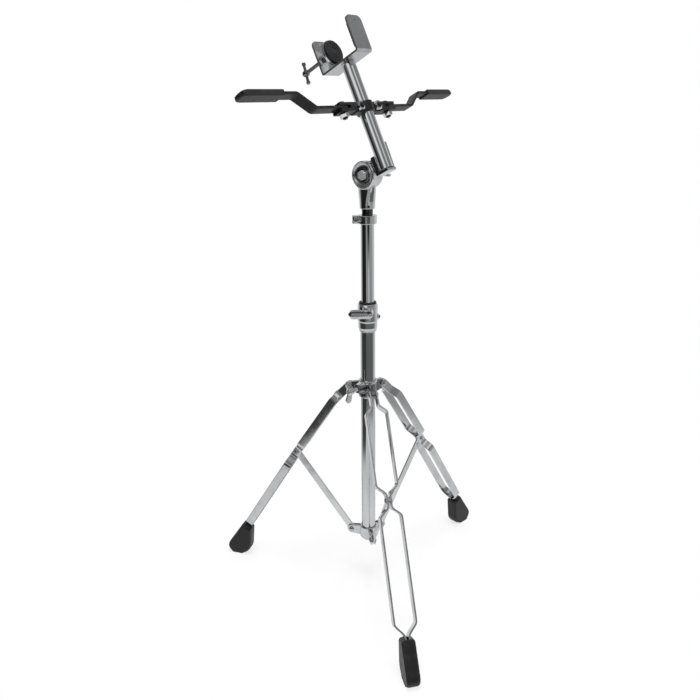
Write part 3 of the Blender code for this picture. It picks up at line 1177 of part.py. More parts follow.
def domed_bolt(length, seat=0.0):
    """Bolt with a domed head above z = seat and a shank of a given length below."""
    return turned([(0, seat - length), (M8_RADIUS - 0.5 * MM, seat - length),
                   (M8_RADIUS, seat - length + 0.5 * MM), (M8_RADIUS, seat),
                   (M8_HEAD_RADIUS, seat), (M8_HEAD_RADIUS, seat + 0.25 * M8_HEAD),
                   (0.75 * M8_HEAD_RADIUS, seat + 0.75 * M8_HEAD),
                   (0.35 * M8_HEAD_RADIUS, seat + M8_HEAD), (0, seat + M8_HEAD)], SMALL_ROUND)


def hex_nut(low):
    """Hexagon nut standing on z = low."""
    bm = bmesh.new()
    outline = hexagon(M8_FLAT)
    bore = arc((0, 0), M8_RADIUS + BORE_GAP, 0, 330, 11)
    rings = []
    for points in (outline, bore):
        for height in (low, low + M8_NUT):
            dense = []
            for i, point in enumerate(points):
                dense.append(point)
                if points is outline:
                    after = points[(i + 1) % len(points)]
                    dense.append(((point[0] + after[0]) / 2, (point[1] + after[1]) / 2))
            rings.append([bm.verts.new((x, y, height)) for x, y in dense])
    outer_low, outer_high, inner_low, inner_high = rings
    for a, b in ((outer_low, outer_high), (outer_high, inner_high),
                 (inner_high, inner_low), (inner_low, outer_low)):
        for i in range(12):
            j = (i + 1) % 12
            bm.faces.new((a[i], a[j], b[j], b[i]))
    return bm


def build_clamp_bolt(clamp, side, word):
    """Bolt and nut that draw the clamp's halves together."""
    ear_face = ARM_CLAMP_SPLIT / 2 + ARM_CLAMP_EAR + GAP
    line = Matrix.Translation((0, side * ARM_CLAMP_BOLT_AT, 0)) @ ALONG_X
    length = 2 * ear_face + M8_NUT + 2.5 * MM
    backwards = Matrix.Rotation(math.pi, 4, "X")
    bolt = moved(domed_bolt(length, ear_face), line @ backwards)
    finish_mesh("clamp_bolt_" + word, bolt, "black_paint", clamp)
    finish_mesh("clamp_nut_" + word, moved(hex_nut(ear_face), line), "chrome", clamp)


def build_pivot_bolt(pivot, word):
    """Upright bolt and nut that hold an arm in its fork."""
    seat = ARM_CLAMP_BLOCK_RISE + GAP
    length = 2 * seat + M8_NUT + 2 * MM
    finish_mesh("arm_bolt_" + word, domed_bolt(length, seat), "black_paint", pivot)
    finish_mesh("arm_nut_" + word, hex_nut(-seat - M8_NUT), "chrome", pivot)


def build_support_arm(pivot, side, word):
    """Flat bar with a step up, and its rubber pad."""
    start = ARM_PIVOT_AT
    bar_end = ARM_PAD_END - ARM_PAD_WALL
    half = ARM_BAR_HALF
    thick = ARM_BAR_THICKNESS / 2
    ease = 5 * MM
    slope = ARM_RISE / (ARM_RISE_END - ARM_RISE_START)
    stations = []
    for share in (1.0, 0.9, 0.7, 0.35, 0.0):
        width = math.sqrt(1 - share ** 2) or 0.15
        stations.append((-half * share, 0.0, width))
    stations += [(ARM_RISE_START - ease - start, 0.0, 1.0),
                 (ARM_RISE_START + 0.4 * ease - start, 0.08 * ARM_RISE, 1.0),
                 (ARM_RISE_END - 0.4 * ease - start, 0.92 * ARM_RISE, 1.0),
                 (ARM_RISE_END + ease - start, ARM_RISE, 1.0),
                 (bar_end - start, ARM_RISE, 1.0)]
    rings = []
    for y, z, share in stations:
        on_slope = 0.01 * ARM_RISE < z < 0.99 * ARM_RISE
        lift = thick * (math.sqrt(1 + slope ** 2) if on_slope else 1.0)
        ring = [(-half * share, z - lift), (half * share, z - lift),
                (half * share, z + lift), (-half * share, z + lift)]
        rings.append([(x, side * y, height) for x, height in ring])
    arm = finish_mesh("support_arm_" + word, rings_to_bmesh(rings), "black_paint", pivot)
    cut(arm, rod(M8_RADIUS + BORE_GAP, -20 * MM, 20 * MM), pivot)
    build_arm_pad(pivot, side, word)


def build_arm_pad(pivot, side, word):
    """Rubber sleeve with a rounded, slanted end over the bar."""
    low = ARM_RISE - ARM_PAD_THICKNESS / 2
    high = ARM_RISE + ARM_PAD_THICKNESS / 2
    near = ARM_PAD_START - ARM_PIVOT_AT
    far = ARM_PAD_END - ARM_PIVOT_AT
    corner = 8 * MM
    rings = []
    for level, reach, inset in ((low, far - 3 * MM, 1.2 * MM), (low + 1.5 * MM, far, 0),
                                (high - 4 * MM, far, 0), (high - 1.2 * MM, far - 4 * MM, 0),
                                (high, far - 5.5 * MM, 1.5 * MM)):
        half = ARM_PAD_HALF - inset
        outline = [(-half, near + inset), (half, near + inset)]
        outline += arc((half - corner, reach - corner), corner, 0, 90, 4)
        outline += arc((corner - half, reach - corner), corner, 90, 180, 4)
        rings.append([(x, side * y, level) for x, y in outline])
    pad = finish_mesh("arm_pad_" + word, rings_to_bmesh(rings), "black_rubber", pivot)
    half = ARM_BAR_HALF + BORE_GAP
    thick = ARM_BAR_THICKNESS / 2 + BORE_GAP
    ys = sorted((side * (near - 10 * MM), side * (far - ARM_PAD_WALL + BORE_GAP)))
    cut(pad, box((-half, ys[0], ARM_RISE - thick), (half, ys[1], ARM_RISE + thick)), pivot)


def main():
    for piece in list(bpy.data.objects):
        bpy.data.objects.remove(piece, do_unlink=True)
    stand = frame("stand", None, (COLUMN_X, COLUMN_Y, 0))
    build_column(stand)
    build_upper_tube(stand)
    build_lower_collar(stand)
    build_leg_collar(stand)
    build_wing_bolt(stand)
    for number, angle in enumerate(LEG_ANGLES, start=1):
        build_leg(stand, number, angle)
    stem = frame("stem_axis", stand)
    pivot = build_tilter(stem)
    arm = frame("arm", pivot, (0, 0, 0), (0, -ARM_LEAN, 0))
    build_arm(arm)
    build_support_arms(arm)


main()
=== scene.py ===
"""Looks of the bongo stand: finer meshes, finishes, studio and camera.

Shapes are made in millimetres in the frame of the sub-assembly that carries
them, and fit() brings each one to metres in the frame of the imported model.
"""
import functools
import json
import logging
import math
from collections.abc import Sequence
from dataclasses import dataclass, field
from enum import Enum
from typing import Any

import bmesh
import bpy
from mathutils import Matrix, Vector


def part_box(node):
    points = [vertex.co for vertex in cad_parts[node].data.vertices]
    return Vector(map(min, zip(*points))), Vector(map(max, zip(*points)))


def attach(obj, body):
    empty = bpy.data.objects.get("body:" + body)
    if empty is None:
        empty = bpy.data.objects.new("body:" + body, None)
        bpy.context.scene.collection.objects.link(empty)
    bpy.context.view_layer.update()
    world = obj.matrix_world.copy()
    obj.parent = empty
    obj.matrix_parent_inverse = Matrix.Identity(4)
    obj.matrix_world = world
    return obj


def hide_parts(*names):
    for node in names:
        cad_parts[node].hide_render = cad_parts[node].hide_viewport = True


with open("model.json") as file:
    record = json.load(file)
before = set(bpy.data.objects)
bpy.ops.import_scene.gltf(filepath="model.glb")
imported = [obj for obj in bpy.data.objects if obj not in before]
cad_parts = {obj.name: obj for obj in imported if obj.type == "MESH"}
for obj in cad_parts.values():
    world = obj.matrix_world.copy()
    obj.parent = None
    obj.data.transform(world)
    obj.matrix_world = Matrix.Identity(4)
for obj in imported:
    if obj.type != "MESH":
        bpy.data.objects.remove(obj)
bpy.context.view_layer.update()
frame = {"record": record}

MM = 0.001
BORE_GAP = 0.35             # radial, around a tube or shank in its bore
GAP = 0.3                   # between faces that touch on the real stand
SIDES = 96                  # around a tube
BOLT_SIDES = 48             # around a bolt
SHARP = math.radians(38)    # an edge that turns more than this stays crisp

Colour = tuple[float, float, float]
Outline = Sequence[tuple[float, ...]]
log = logging.getLogger("bongo_stand")


class Along(Enum):
    """Which way a turned or extruded shape points, as the turn from +Z."""

    X = Matrix.Rotation(math.radians(90), 4, "Y")
    Y = Matrix.Rotation(math.radians(-90), 4, "X")
    # Outline (x, y) to the XZ plane, height to -Y
    UPRIGHT = Matrix.Rotation(math.radians(90), 4, "X")
    # Outline (x, y) to the YZ plane, height to +X
    FACING_X = Matrix(((0, 0, 1, 0), (1, 0, 0, 0), (0, 1, 0, 0), (0, 0, 0, 1)))


class Hand(Enum):
    """The two support arms, by the side of the arm tube they are on."""

    LEFT = -1
    RIGHT = 1


# Node graphs

class Socket:
    """A node's output, so that maths on it reads as Python."""

    def __init__(self, graph: "Graph", output: bpy.types.NodeSocket) -> None:
        """Keep the graph that holds the output."""
        self.graph = graph
        self.output = output

    def __add__(self, other: Any) -> "Socket":
        """Sum."""
        return self.graph.maths("ADD", self, other)

    def __mul__(self, other: Any) -> "Socket":
        """Product."""
        return self.graph.maths("MULTIPLY", self, other)

    def __sub__(self, other: Any) -> "Socket":
        """Difference."""
        return self.graph.maths("SUBTRACT", self, other)

    def __rsub__(self, other: Any) -> "Socket":
        """Difference from a number."""
        return self.graph.maths("SUBTRACT", other, self)

    def __truediv__(self, other: Any) -> "Socket":
        """Quotient."""
        return self.graph.maths("DIVIDE", self, other)

    def __rtruediv__(self, other: Any) -> "Socket":
        """Quotient of a number."""
        return self.graph.maths("DIVIDE", other, self)

    def __pow__(self, other: Any) -> "Socket":
        """Power."""
        return self.graph.maths("POWER", self, other)

    def __abs__(self) -> "Socket":
        """Size without sign."""
        return self.graph.maths("ABSOLUTE", self)

    __radd__ = __add__
    __rmul__ = __mul__

    def at_least(self, other: Any) -> "Socket":
        """The larger of two values."""
        return self.graph.maths("MAXIMUM", self, other)

    def at_most(self, other: Any) -> "Socket":
        """The smaller of two values."""
        return self.graph.maths("MINIMUM", self, other)

    def between(self, low: float, high: float) -> "Socket":
        """Rise smoothly from 0 at low to 1 at high."""
        node = self.graph.add("ShaderNodeMapRange", {"interpolation_type": "SMOOTHSTEP"},
                              {"Value": self, "From Min": low, "From Max": high})
        return Socket(self.graph, node.outputs["Result"])


class Graph:
    """Nodes and links of a material, a world or a Geometry Nodes tree."""

    def __init__(self, tree: bpy.types.NodeTree) -> None:
        """Build in this tree."""
        self.tree = tree

    def add(self, kind: str, settings: dict[str, Any], inputs: dict[Any, Any]) -> bpy.types.Node:
        """Add a node.

        Args:
            kind: Type of the node.
            settings: Properties, which are set before the sockets are filled.
            inputs: Numbers, colours or sockets, by a socket's name or index.

        Returns:
            The new node.
        """
        node = self.tree.nodes.new(kind)
        for key, value in settings.items():
            setattr(node, key, value)
        for key, value in inputs.items():
            if isinstance(key, int):
                target = node.inputs[key]
            else:
                target = next(s for s in node.inputs if s.name == key and s.enabled)
            if isinstance(value, Socket):
                self.tree.links.new(value.output, target)
            else:
                target.default_value = value
        return node

    def get(self, kind: str, output: str, settings: dict[str, Any] | None = None,
            inputs: dict[Any, Any] | None = None) -> Socket:
        """Add a node and wrap one of its outputs, found by name."""
        node = self.add(kind, settings or {}, inputs or {})
        return Socket(self, next(s for s in node.outputs if s.name == output and s.enabled))

    def maths(self, operation: str, *values: Any) -> Socket:
        """Add a Math node."""
        return self.get("ShaderNodeMath", "Value", {"operation": operation},
                        dict(enumerate(values)))

    def vectors(self, operation: str, *values: Any, output: str = "Vector") -> Socket:
        """Add a Vector Math node."""
        return self.get("ShaderNodeVectorMath", output, {"operation": operation},
                        dict(enumerate(values)))

    def blend(self, factor: Any, first: Any, second: Any) -> Socket:
        """Mix two colours."""
        return self.get("ShaderNodeMix", "Result", {"data_type": "RGBA"},
                        {"Factor": factor, "A": first, "B": second})


def rgba(colour: Colour) -> tuple[float, float, float, float]:
    """Opaque colour for a socket."""
    return (*colour, 1.0)


# Finishes

@dataclass(frozen=True)
class Finish:
    """A surface whose colour, roughness and relief vary as the real one's do."""

    name: str
    tone: Colour = (0.80, 0.81, 0.82)
    worn: Colour = (0.60, 0.62, 0.63)
    metallic: float = 1.0
    gloss: float = 0.05
    matt: float = 0.14
    patch: float = 34.0
    grain: float = 420.0
    relief: float = 0.02
    lines: tuple[float, float, float] = (1.0, 1.0, 1.0)
    lean: float = 0.0

    def material(self) -> bpy.types.Material:
        """Make the material, or return the one made before."""
        return finished(self)

    def dress(self, graph: Graph, shader: bpy.types.Node) -> None:
        """Join the pattern to the shader.

        Args:
            graph: Graph of the new material.
            shader: Its Principled BSDF.
        """
        place = self.place(graph)
        patches = self.noise(graph, place, self.patch, 5.0).between(0.42, 0.72)
        scratches = self.noise(graph, place, self.grain, 3.0).between(0.62, 0.72)
        wear = (patches * 0.7 + scratches * 0.5).at_most(1.0)
        self.link(graph, shader, wear, self.noise(graph, place, self.grain * 0.35, 4.0))

    def place(self, graph: Graph) -> Socket:
        """Object coordinates, turned and stretched along the drawn lines."""
        spot = graph.get("ShaderNodeTexCoord", "Object")
        turned_spot = graph.get("ShaderNodeMapping", "Vector", {"vector_type": "POINT"},
                                {"Vector": spot, "Rotation": (0.0, math.radians(self.lean), 0.0)})
        return graph.vectors("MULTIPLY", turned_spot, self.lines)

    def noise(self, graph: Graph, place: Socket, scale: float, detail: float) -> Socket:
        """Noise in 0..1 at a scale in waves per metre."""
        return graph.get("ShaderNodeTexNoise", "Fac", None,
                         {"Vector": place, "Scale": scale, "Detail": detail, "Roughness": 0.6})

    def link(self, graph: Graph, shader: bpy.types.Node, wear: Socket, height: Socket) -> None:
        """Send wear to the colour and roughness, and height to the bump.

        Args:
            graph: Graph of the new material.
            shader: Its Principled BSDF.
            wear: How worn or hazy a point is, 0 to 1.
            height: Relief, 0 to 1.
        """
        colour = graph.blend(wear, rgba(self.tone), rgba(self.worn))
        rough = wear * (self.matt - self.gloss) + self.gloss
        bump = graph.get("ShaderNodeBump", "Normal", None,
                         {"Strength": self.relief, "Distance": 0.3 * MM, "Height": height})
        graph.tree.links.new(colour.output, shader.inputs["Base Color"])
        graph.tree.links.new(rough.output, shader.inputs["Roughness"])
        graph.tree.links.new(bump.output, shader.inputs["Normal"])
        shader.inputs["Metallic"].default_value = self.metallic


@dataclass(frozen=True)
class Coat(Finish):
    """Paint or plastic: orange peel, and sharp edges made lighter, part worn paint and part painted
    highlight.
    """

    metallic: float = 0.0
    edge_wear_and_highlight: float = 0.6
    sheen: float = 0.2

    def dress(self, graph: Graph, shader: bpy.types.Node) -> None:
        """Join the pattern to the shader, with wear in patches, and sharp edges lightened as wear and as
        a painted highlight.
        """
        shader.inputs["Specular IOR Level"].default_value = self.sheen
        place = self.place(graph)
        # Sharp edges, found by pointiness, are pushed to the lighter worn colour: part wear, part
        # painted highlight.
        edge = graph.get("ShaderNodeNewGeometry", "Pointiness").between(0.53, 0.62)
        patches = self.noise(graph, place, self.patch, 6.0).between(0.40, 0.75)
        wear = (edge * self.edge_wear_and_highlight + patches * 0.5).at_most(1.0)
        self.link(graph, shader, wear, self.noise(graph, place, self.grain, 3.0))


@dataclass(frozen=True)
class Rubber(Finish):
    """Moulded rubber, greyer with dust and scuffs near the floor."""

    metallic: float = 0.0
    dusty_below: float = 0.0

    def dress(self, graph: Graph, shader: bpy.types.Node) -> None:
        """Join the pattern to the shader, with dust under a height in metres."""
        place = self.place(graph)
        patches = self.noise(graph, place, self.patch, 6.0).between(0.45, 0.8)
        wear = patches * 0.55
        if self.dusty_below:
            height = graph.get("ShaderNodeSeparateXYZ", "Z", None, {"Vector": place})
            scuffs = self.noise(graph, place, self.patch * 6.0, 5.0).between(0.35, 0.65)
            wear = (wear + (1 - height / self.dusty_below).at_least(0.0) * scuffs).at_most(1.0)
        self.link(graph, shader, wear, self.noise(graph, place, self.grain, 4.0))


@dataclass(frozen=True)
class Dished(Finish):
    """Chrome that is polished outside, and inside a round recess rougher and painted darker as shade."""

    centre: tuple[float, float, float] = (0.0, 0.0, 0.0)
    radius: float = 0.0
    recess_shade_and_roughness: float = 1.1

    def link(self, graph: Graph, shader: bpy.types.Node, wear: Socket, height: Socket) -> None:
        """Join the pattern, with painted shade inside the recess: darker colour and more roughness
        there.
        """
        spot = graph.get("ShaderNodeTexCoord", "Object")
        distance = graph.vectors("DISTANCE", spot, self.centre, output="Value")
        # Painted shade: inside the recess the colour goes to the darker worn tone, and the roughness
        # rises.
        inside = 1 - distance.between(self.radius * 0.97, self.radius)
        super().link(graph, shader, wear + inside * self.recess_shade_and_roughness, height)


@dataclass(frozen=True)
class PaintedRimHighlights(Finish):
    """Cast chrome with painted shade: dark between two heights, with painted highlight bands at the foot
    and the top.
    """

    low: float = 0.0
    high: float = 0.0
    shade_depth: float = 0.72

    def link(self, graph: Graph, shader: bpy.types.Node, wear: Socket, height: Socket) -> None:
        """Join the pattern, and paint shade between two heights in metres; the bands below and above
        stay bright as painted highlights.
        """
        spot = graph.get("ShaderNodeTexCoord", "Object")
        level = graph.get("ShaderNodeSeparateXYZ", "Z", None, {"Vector": spot})
        # Painted light: dark between low and high, bright painted highlight bands outside them.
        between = (level.between(self.low, self.low + 0.5 * MM)
                   * (1 - level.between(self.high - 0.5 * MM, self.high)))
        painted_light = (wear * (1 - self.shade_depth) + self.shade_depth) * between
        super().link(graph, shader, painted_light, height)


@functools.cache
def finished(finish: Finish) -> bpy.types.Material:
    """Build a finish once.

    Args:
        finish: The finish.

    Returns:
        Its node material.
    """
    material = bpy.data.materials.new(finish.name)
    material.use_nodes = True
    finish.dress(Graph(material.node_tree), material.node_tree.nodes["Principled BSDF"])
    return material


TUBE_CHROME = Finish("drawn_tube_chrome", gloss=0.035, matt=0.10, relief=0.006,
                     lines=(1.0, 1.0, 0.03))
ARM_TUBE_CHROME = Finish("leaning_tube_chrome", gloss=0.035, matt=0.10, relief=0.006,
                         lines=(1.0, 1.0, 0.03), lean=26.0)
CAST_CHROME = Finish("cast_chrome", gloss=0.05, matt=0.16, grain=260.0, relief=0.035)
STRIP_CHROME = Finish("strip_chrome", gloss=0.06, matt=0.17, grain=300.0, relief=0.02)
PLATE_CHROME = Finish("plate_chrome", tone=(0.70, 0.71, 0.72), worn=(0.5, 0.52, 0.53), gloss=0.12,
                      matt=0.26, grain=300.0, relief=0.02)
RING_CHROME = Finish("ring_chrome", gloss=0.14, matt=0.24, grain=300.0, relief=0.03)
SATIN_CHROME = Finish("satin_chrome", tone=(0.9, 0.9, 0.91), worn=(0.75, 0.76, 0.77), gloss=0.3,
                      matt=0.4, relief=0.02)
BRIGHT_ZINC = Finish("bright_zinc", tone=(0.85, 0.85, 0.86), worn=(0.6, 0.6, 0.61), metallic=0.35,
                     gloss=0.25, matt=0.4, patch=160.0, relief=0.05)
HANDLE_STEEL = Finish("handle_steel", tone=(0.32, 0.32, 0.33), worn=(0.2, 0.2, 0.2), gloss=0.1,
                      matt=0.25, grain=520.0, relief=0.05)
DARK_STEEL = Finish("dark_steel", tone=(0.10, 0.10, 0.105), worn=(0.2, 0.2, 0.2), gloss=0.16,
                    matt=0.34, grain=520.0, relief=0.05)
ZINC = Finish("zinc_rivet", tone=(0.62, 0.63, 0.65), worn=(0.42, 0.43, 0.44), gloss=0.2,
              matt=0.42, patch=160.0, relief=0.08)
# Both coats get lighter sharp edges, part wear and part painted highlight.
POWDER_COAT = Coat("black_powder_coat", tone=(0.012, 0.012, 0.013), worn=(0.045, 0.045, 0.047),
                   gloss=0.30, matt=0.5, patch=60.0, grain=900.0, relief=0.12)
NYLON = Coat("black_nylon", tone=(0.016, 0.016, 0.017), worn=(0.04, 0.04, 0.042), gloss=0.4,
             matt=0.6, grain=1100.0, relief=0.08)
RUBBER = Rubber("black_rubber", tone=(0.014, 0.014, 0.015), worn=(0.032, 0.032, 0.034), gloss=0.42,
                matt=0.66, patch=70.0, grain=1300.0, relief=0.14)
BOOT_RUBBER = Rubber("boot_rubber", tone=(0.014, 0.014, 0.015), worn=(0.05, 0.048, 0.046),
                     gloss=0.38, matt=0.7, patch=70.0, grain=1300.0, relief=0.14,
                     dusty_below=9 * MM)
SLOT_FINISHES = {"chrome": CAST_CHROME, "dark_steel": DARK_STEEL, "zinc": ZINC,
                 "black_paint": POWDER_COAT, "black_nylon": NYLON, "black_rubber": RUBBER}


# Outlines and routes, in millimetres

def rounded(corners: Outline, radius: float = 0.4, steps: int = 4,
            limit: float = 0.48) -> list[tuple[float, float]]:
    """Round the corners of a closed outline.

    Args:
        corners: Points (x, y), or (x, y, radius) where a corner has its own.
        radius: Radius of the other corners; it shrinks where an edge is short.
        steps: Segments in an arc.
        limit: Share of an edge that an arc may take.

    Returns:
        Points of the outline. A corner at x = 0 stays sharp, for turned shapes.
    """
    points: list[tuple[float, float]] = []
    count = len(corners)
    for i, corner in enumerate(corners):
        here = Vector(corner[:2])
        before = Vector(corners[i - 1][:2]) - here
        after = Vector(corners[(i + 1) % count][:2]) - here
        half = before.angle(after) / 2
        wanted = corner[2] if len(corner) > 2 else radius
        reach = min(wanted / math.tan(half), limit * before.length, limit * after.length)
        own = reach * math.tan(half)
        if abs(here.x) < 1e-6 or half > math.radians(86) or own < 1e-4:
            points.append((here.x, here.y))
            continue
        centre = here + (before.normalized() + after.normalized()).normalized() * own / math.sin(half)
        start = here + before.normalized() * reach - centre
        turn = start.angle_signed(here + after.normalized() * reach - centre)
        for k in range(steps + 1):
            angle = math.atan2(start.y, start.x) - turn * k / steps
            points.append((centre.x + own * math.cos(angle), centre.y + own * math.sin(angle)))
    return points


def arc(centre: Sequence[float], radius: float, start: float, end: float,
        steps: int) -> list[tuple[float, float]]:
    """Points on an arc, with angles in degrees."""
    turns = [math.radians(start + (end - start) * i / steps) for i in range(steps + 1)]
    return [(centre[0] + radius * math.cos(t), centre[1] + radius * math.sin(t)) for t in turns]


def smooth_step(share: float) -> float:
    """Ease from 0 to 1, flat at both ends."""
    share = min(max(share, 0.0), 1.0)
    return share * share * (3 - 2 * share)


class Route:
    """An open path of straight runs and round bends, measured along itself."""

    def __init__(self, corners: Outline, plane: Matrix, steps: int = 8) -> None:
        """Lay out the path.

        Args:
            corners: Points (x, y, radius of the bend there) in a plane.
            plane: Takes (x, y, 0) to where the path lies.
            steps: Segments in a bend.
        """
        flat: list[tuple[float, float]] = [tuple(corners[0][:2])]
        for before, corner, after in zip(corners, corners[1:], corners[2:]):
            bend = rounded([before[:2], corner, after[:2]], 0.0, steps)
            flat += bend[1:-1]
        flat.append(tuple(corners[-1][:2]))
        self.points = [plane @ Vector((x, y, 0)) for x, y in flat]
        self.marks = [0.0]
        for a, b in zip(self.points, self.points[1:]):
            self.marks.append(self.marks[-1] + (b - a).length)

    def at(self, distance: float) -> tuple[Vector, Vector]:
        """Point and direction at a distance from the start."""
        i = 0
        while i < len(self.marks) - 2 and self.marks[i + 1] < distance:
            i += 1
        run = self.points[i + 1] - self.points[i]
        share = (distance - self.marks[i]) / run.length
        return self.points[i] + run * share, run.normalized()


# Solids, in millimetres

class Shape:
    """A closed mesh in millimetres, in the frame of what carries it."""

    def __init__(self, mesh: bpy.types.Mesh) -> None:
        """Hold the mesh."""
        self.mesh = mesh

    @classmethod
    def of(cls, bm: bmesh.types.BMesh) -> "Shape":
        """Take a bmesh, merge its doubles and turn its faces outwards."""
        bmesh.ops.remove_doubles(bm, verts=bm.verts, dist=0.0005)
        bmesh.ops.recalc_face_normals(bm, faces=bm.faces)
        mesh = bpy.data.meshes.new("shape")
        bm.to_mesh(mesh)
        bm.free()
        return cls(mesh)

    def moved(self, matrix: Matrix) -> "Shape":
        """Move the shape in place."""
        self.mesh.transform(matrix)
        return self

    def copied(self) -> "Shape":
        """A second shape like this one."""
        return Shape(self.mesh.copy())

    def with_modifier(self, kind: str, settings: dict[str, Any],
                      inputs: dict[str, Any] | None = None) -> "Shape":
        """Run one modifier on the shape.

        Args:
            kind: Type of the modifier.
            settings: Its properties.
            inputs: Values of a Geometry Nodes modifier, by the names in its tree.

        Returns:
            The shape that the modifier makes.
        """
        holder = bpy.data.objects.new("work", self.mesh)
        bpy.context.scene.collection.objects.link(holder)
        modifier = holder.modifiers.new("work", kind)
        for key, value in settings.items():
            setattr(modifier, key, value)
        for key, value in (inputs or {}).items():
            panel = modifier.node_group.interface.items_tree
            modifier[panel[key].identifier] = value
        seen = holder.evaluated_get(bpy.context.evaluated_depsgraph_get())
        mesh = bpy.data.meshes.new_from_object(seen)
        bpy.data.objects.remove(holder)
        return Shape(mesh)

    def combined(self, other: "Shape", operation: str) -> "Shape":
        """Boolean with another shape."""
        operand = bpy.data.objects.new("operand", other.mesh)
        bpy.context.scene.collection.objects.link(operand)
        result = self.with_modifier("BOOLEAN", {"operation": operation, "solver": "EXACT",
                                                "object": operand})
        bpy.data.objects.remove(operand)
        return result

    def __add__(self, other: "Shape") -> "Shape":
        """Fuse two shapes."""
        return self.combined(other, "UNION")

    def __sub__(self, other: "Shape") -> "Shape":
        """Cut a shape away."""
        return self.combined(other, "DIFFERENCE")

    def beside(self, *others: "Shape") -> "Shape":
        """Put separate shells in one mesh."""
        bm = bmesh.new()
        for shape in (self, *others):
            bm.from_mesh(shape.mesh)
        mesh = bpy.data.meshes.new("shape")
        bm.to_mesh(mesh)
        bm.free()
        return Shape(mesh)

    def cast(self, voxel: float = 0.6, passes: int = 6) -> "Shape":
        """Soften every edge and inner corner as a casting does."""
        grid = self.with_modifier("REMESH", {"mode": "VOXEL", "voxel_size": voxel})
        return grid.with_modifier("SMOOTH", {"factor": 0.5, "iterations": passes})

    def bevelled(self, width: float, segments: int = 3) -> "Shape":
        """Round the sharp edges."""
        return self.with_modifier("BEVEL", {"width": width, "segments": segments,
                                            "limit_method": "ANGLE", "angle_limit": SHARP})

    def shaded(self) -> "Shape":
        """Smooth shading that keeps flat faces flat."""
        self.mesh.shade_smooth()
        self.mesh.set_sharp_from_angle(angle=SHARP)
        return self.with_modifier("WEIGHTED_NORMAL", {"keep_sharp": True})


def turned(profile: Outline, soft: float = 0.4, sides: int = SIDES) -> Shape:
    """Turn a closed (radius, height) outline about Z.

    Args:
        profile: Corners of the outline.
        soft: Radius on its corners.
        sides: Segments around.

    Returns:
        A closed solid.
    """
    bm = bmesh.new()
    rings = []
    for radius, height in rounded(profile, soft):
        spots = 1 if radius < 1e-6 else sides
        turns = [2 * math.pi * i / spots for i in range(spots)]
        rings.append([bm.verts.new((radius * math.cos(t), radius * math.sin(t), height))
                      for t in turns])
    for lower, upper in zip(rings, rings[1:] + rings[:1]):
        if len(lower) == len(upper) == 1:
            continue
        for i in range(sides):
            j = (i + 1) % sides
            corners = [lower[i % len(lower)], lower[j % len(lower)],
                       upper[j % len(upper)], upper[i % len(upper)]]
            bm.faces.new(list(dict.fromkeys(corners)))
    return Shape.of(bm)


def lofted(rings: Sequence[Sequence[Sequence[float]]]) -> Shape:
    """Bridge equal rings of points and close both ends."""
    bm = bmesh.new()
    loops = [[bm.verts.new(point) for point in ring] for ring in rings]
    count = len(loops[0])
    for lower, upper in zip(loops, loops[1:]):
        for i in range(count):
            j = (i + 1) % count
            bm.faces.new((lower[i], lower[j], upper[j], upper[i]))
    bm.faces.new(list(reversed(loops[0])))
    bm.faces.new(loops[-1])
    return Shape.of(bm)


def prism(outline: Outline, low: float, high: float) -> Shape:
    """Extrude an (x, y) outline from z = low to z = high."""
    return lofted([[(p[0], p[1], z) for p in outline] for z in (low, high)])


def block(low: Sequence[float], high: Sequence[float]) -> Shape:
    """A block between two corners, given in any order."""
    (x0, x1), (y0, y1), (z0, z1) = (sorted(pair) for pair in zip(low, high))
    return prism([(x0, y0), (x1, y0), (x1, y1), (x0, y1)], z0, z1)


def rod(radius: float, start: float, end: float, soft: float = 0.0,
        sides: int = BOLT_SIDES) -> Shape:
    """A solid round bar along Z."""
    return turned([(0, start), (radius, start), (radius, end), (0, end)], soft, sides)


def pipe(outer: float, wall: float, bottom: float, top: float) -> Shape:
    """A round tube along Z with its cut ends broken."""
    inner = outer - wall
    return turned([(inner, bottom), (outer, bottom), (outer, top), (inner, top)], 0.3)


def hexagon_rod(flat: float, start: float, end: float, bore: float = 0.0,
                chamfered: tuple[bool, bool] = (True, True)) -> Shape:
    """A hexagon bar whose ends are turned to a cone, as nuts and heads are.

    Args:
        flat: Width across flats.
        start: Lower end.
        end: Upper end.
        bore: Radius of the hole, or 0.
        chamfered: Which of the two ends has the cone.

    Returns:
        A closed solid along Z.
    """
    steps = 60
    slope = math.tan(math.radians(27))
    low_ring, low_edge, high_edge, high_ring = [], [], [], []
    low_bore, high_bore = [], []
    for i in range(steps):
        angle = 2 * math.pi * i / steps
        off = (angle + math.pi / 6) % (math.pi / 3) - math.pi / 6
        radius = flat / 2 / math.cos(off)
        drop = (radius - 0.47 * flat) * slope
        c, s = math.cos(angle), math.sin(angle)
        for ring, size, height in (
                (low_bore, bore, start), (low_ring, 0.47 * flat, start),
                (low_edge, radius, start + (drop if chamfered[0] else 0)),
                (high_edge, radius, end - (drop if chamfered[1] else 0)),
                (high_ring, 0.47 * flat, end), (high_bore, bore, end)):
            ring.append((size * c, size * s, height))
    rings = [low_ring, low_edge, high_edge, high_ring]
    if not bore:
        return lofted(rings)
    bm = bmesh.new()
    loops = [[bm.verts.new(p) for p in ring] for ring in [low_bore, *rings, high_bore]]
    for lower, upper in zip(loops, loops[1:] + loops[:1]):
        for i in range(steps):
            j = (i + 1) % steps
            bm.faces.new((lower[i], lower[j], upper[j], upper[i]))
    return Shape.of(bm)


# Geometry Nodes trees

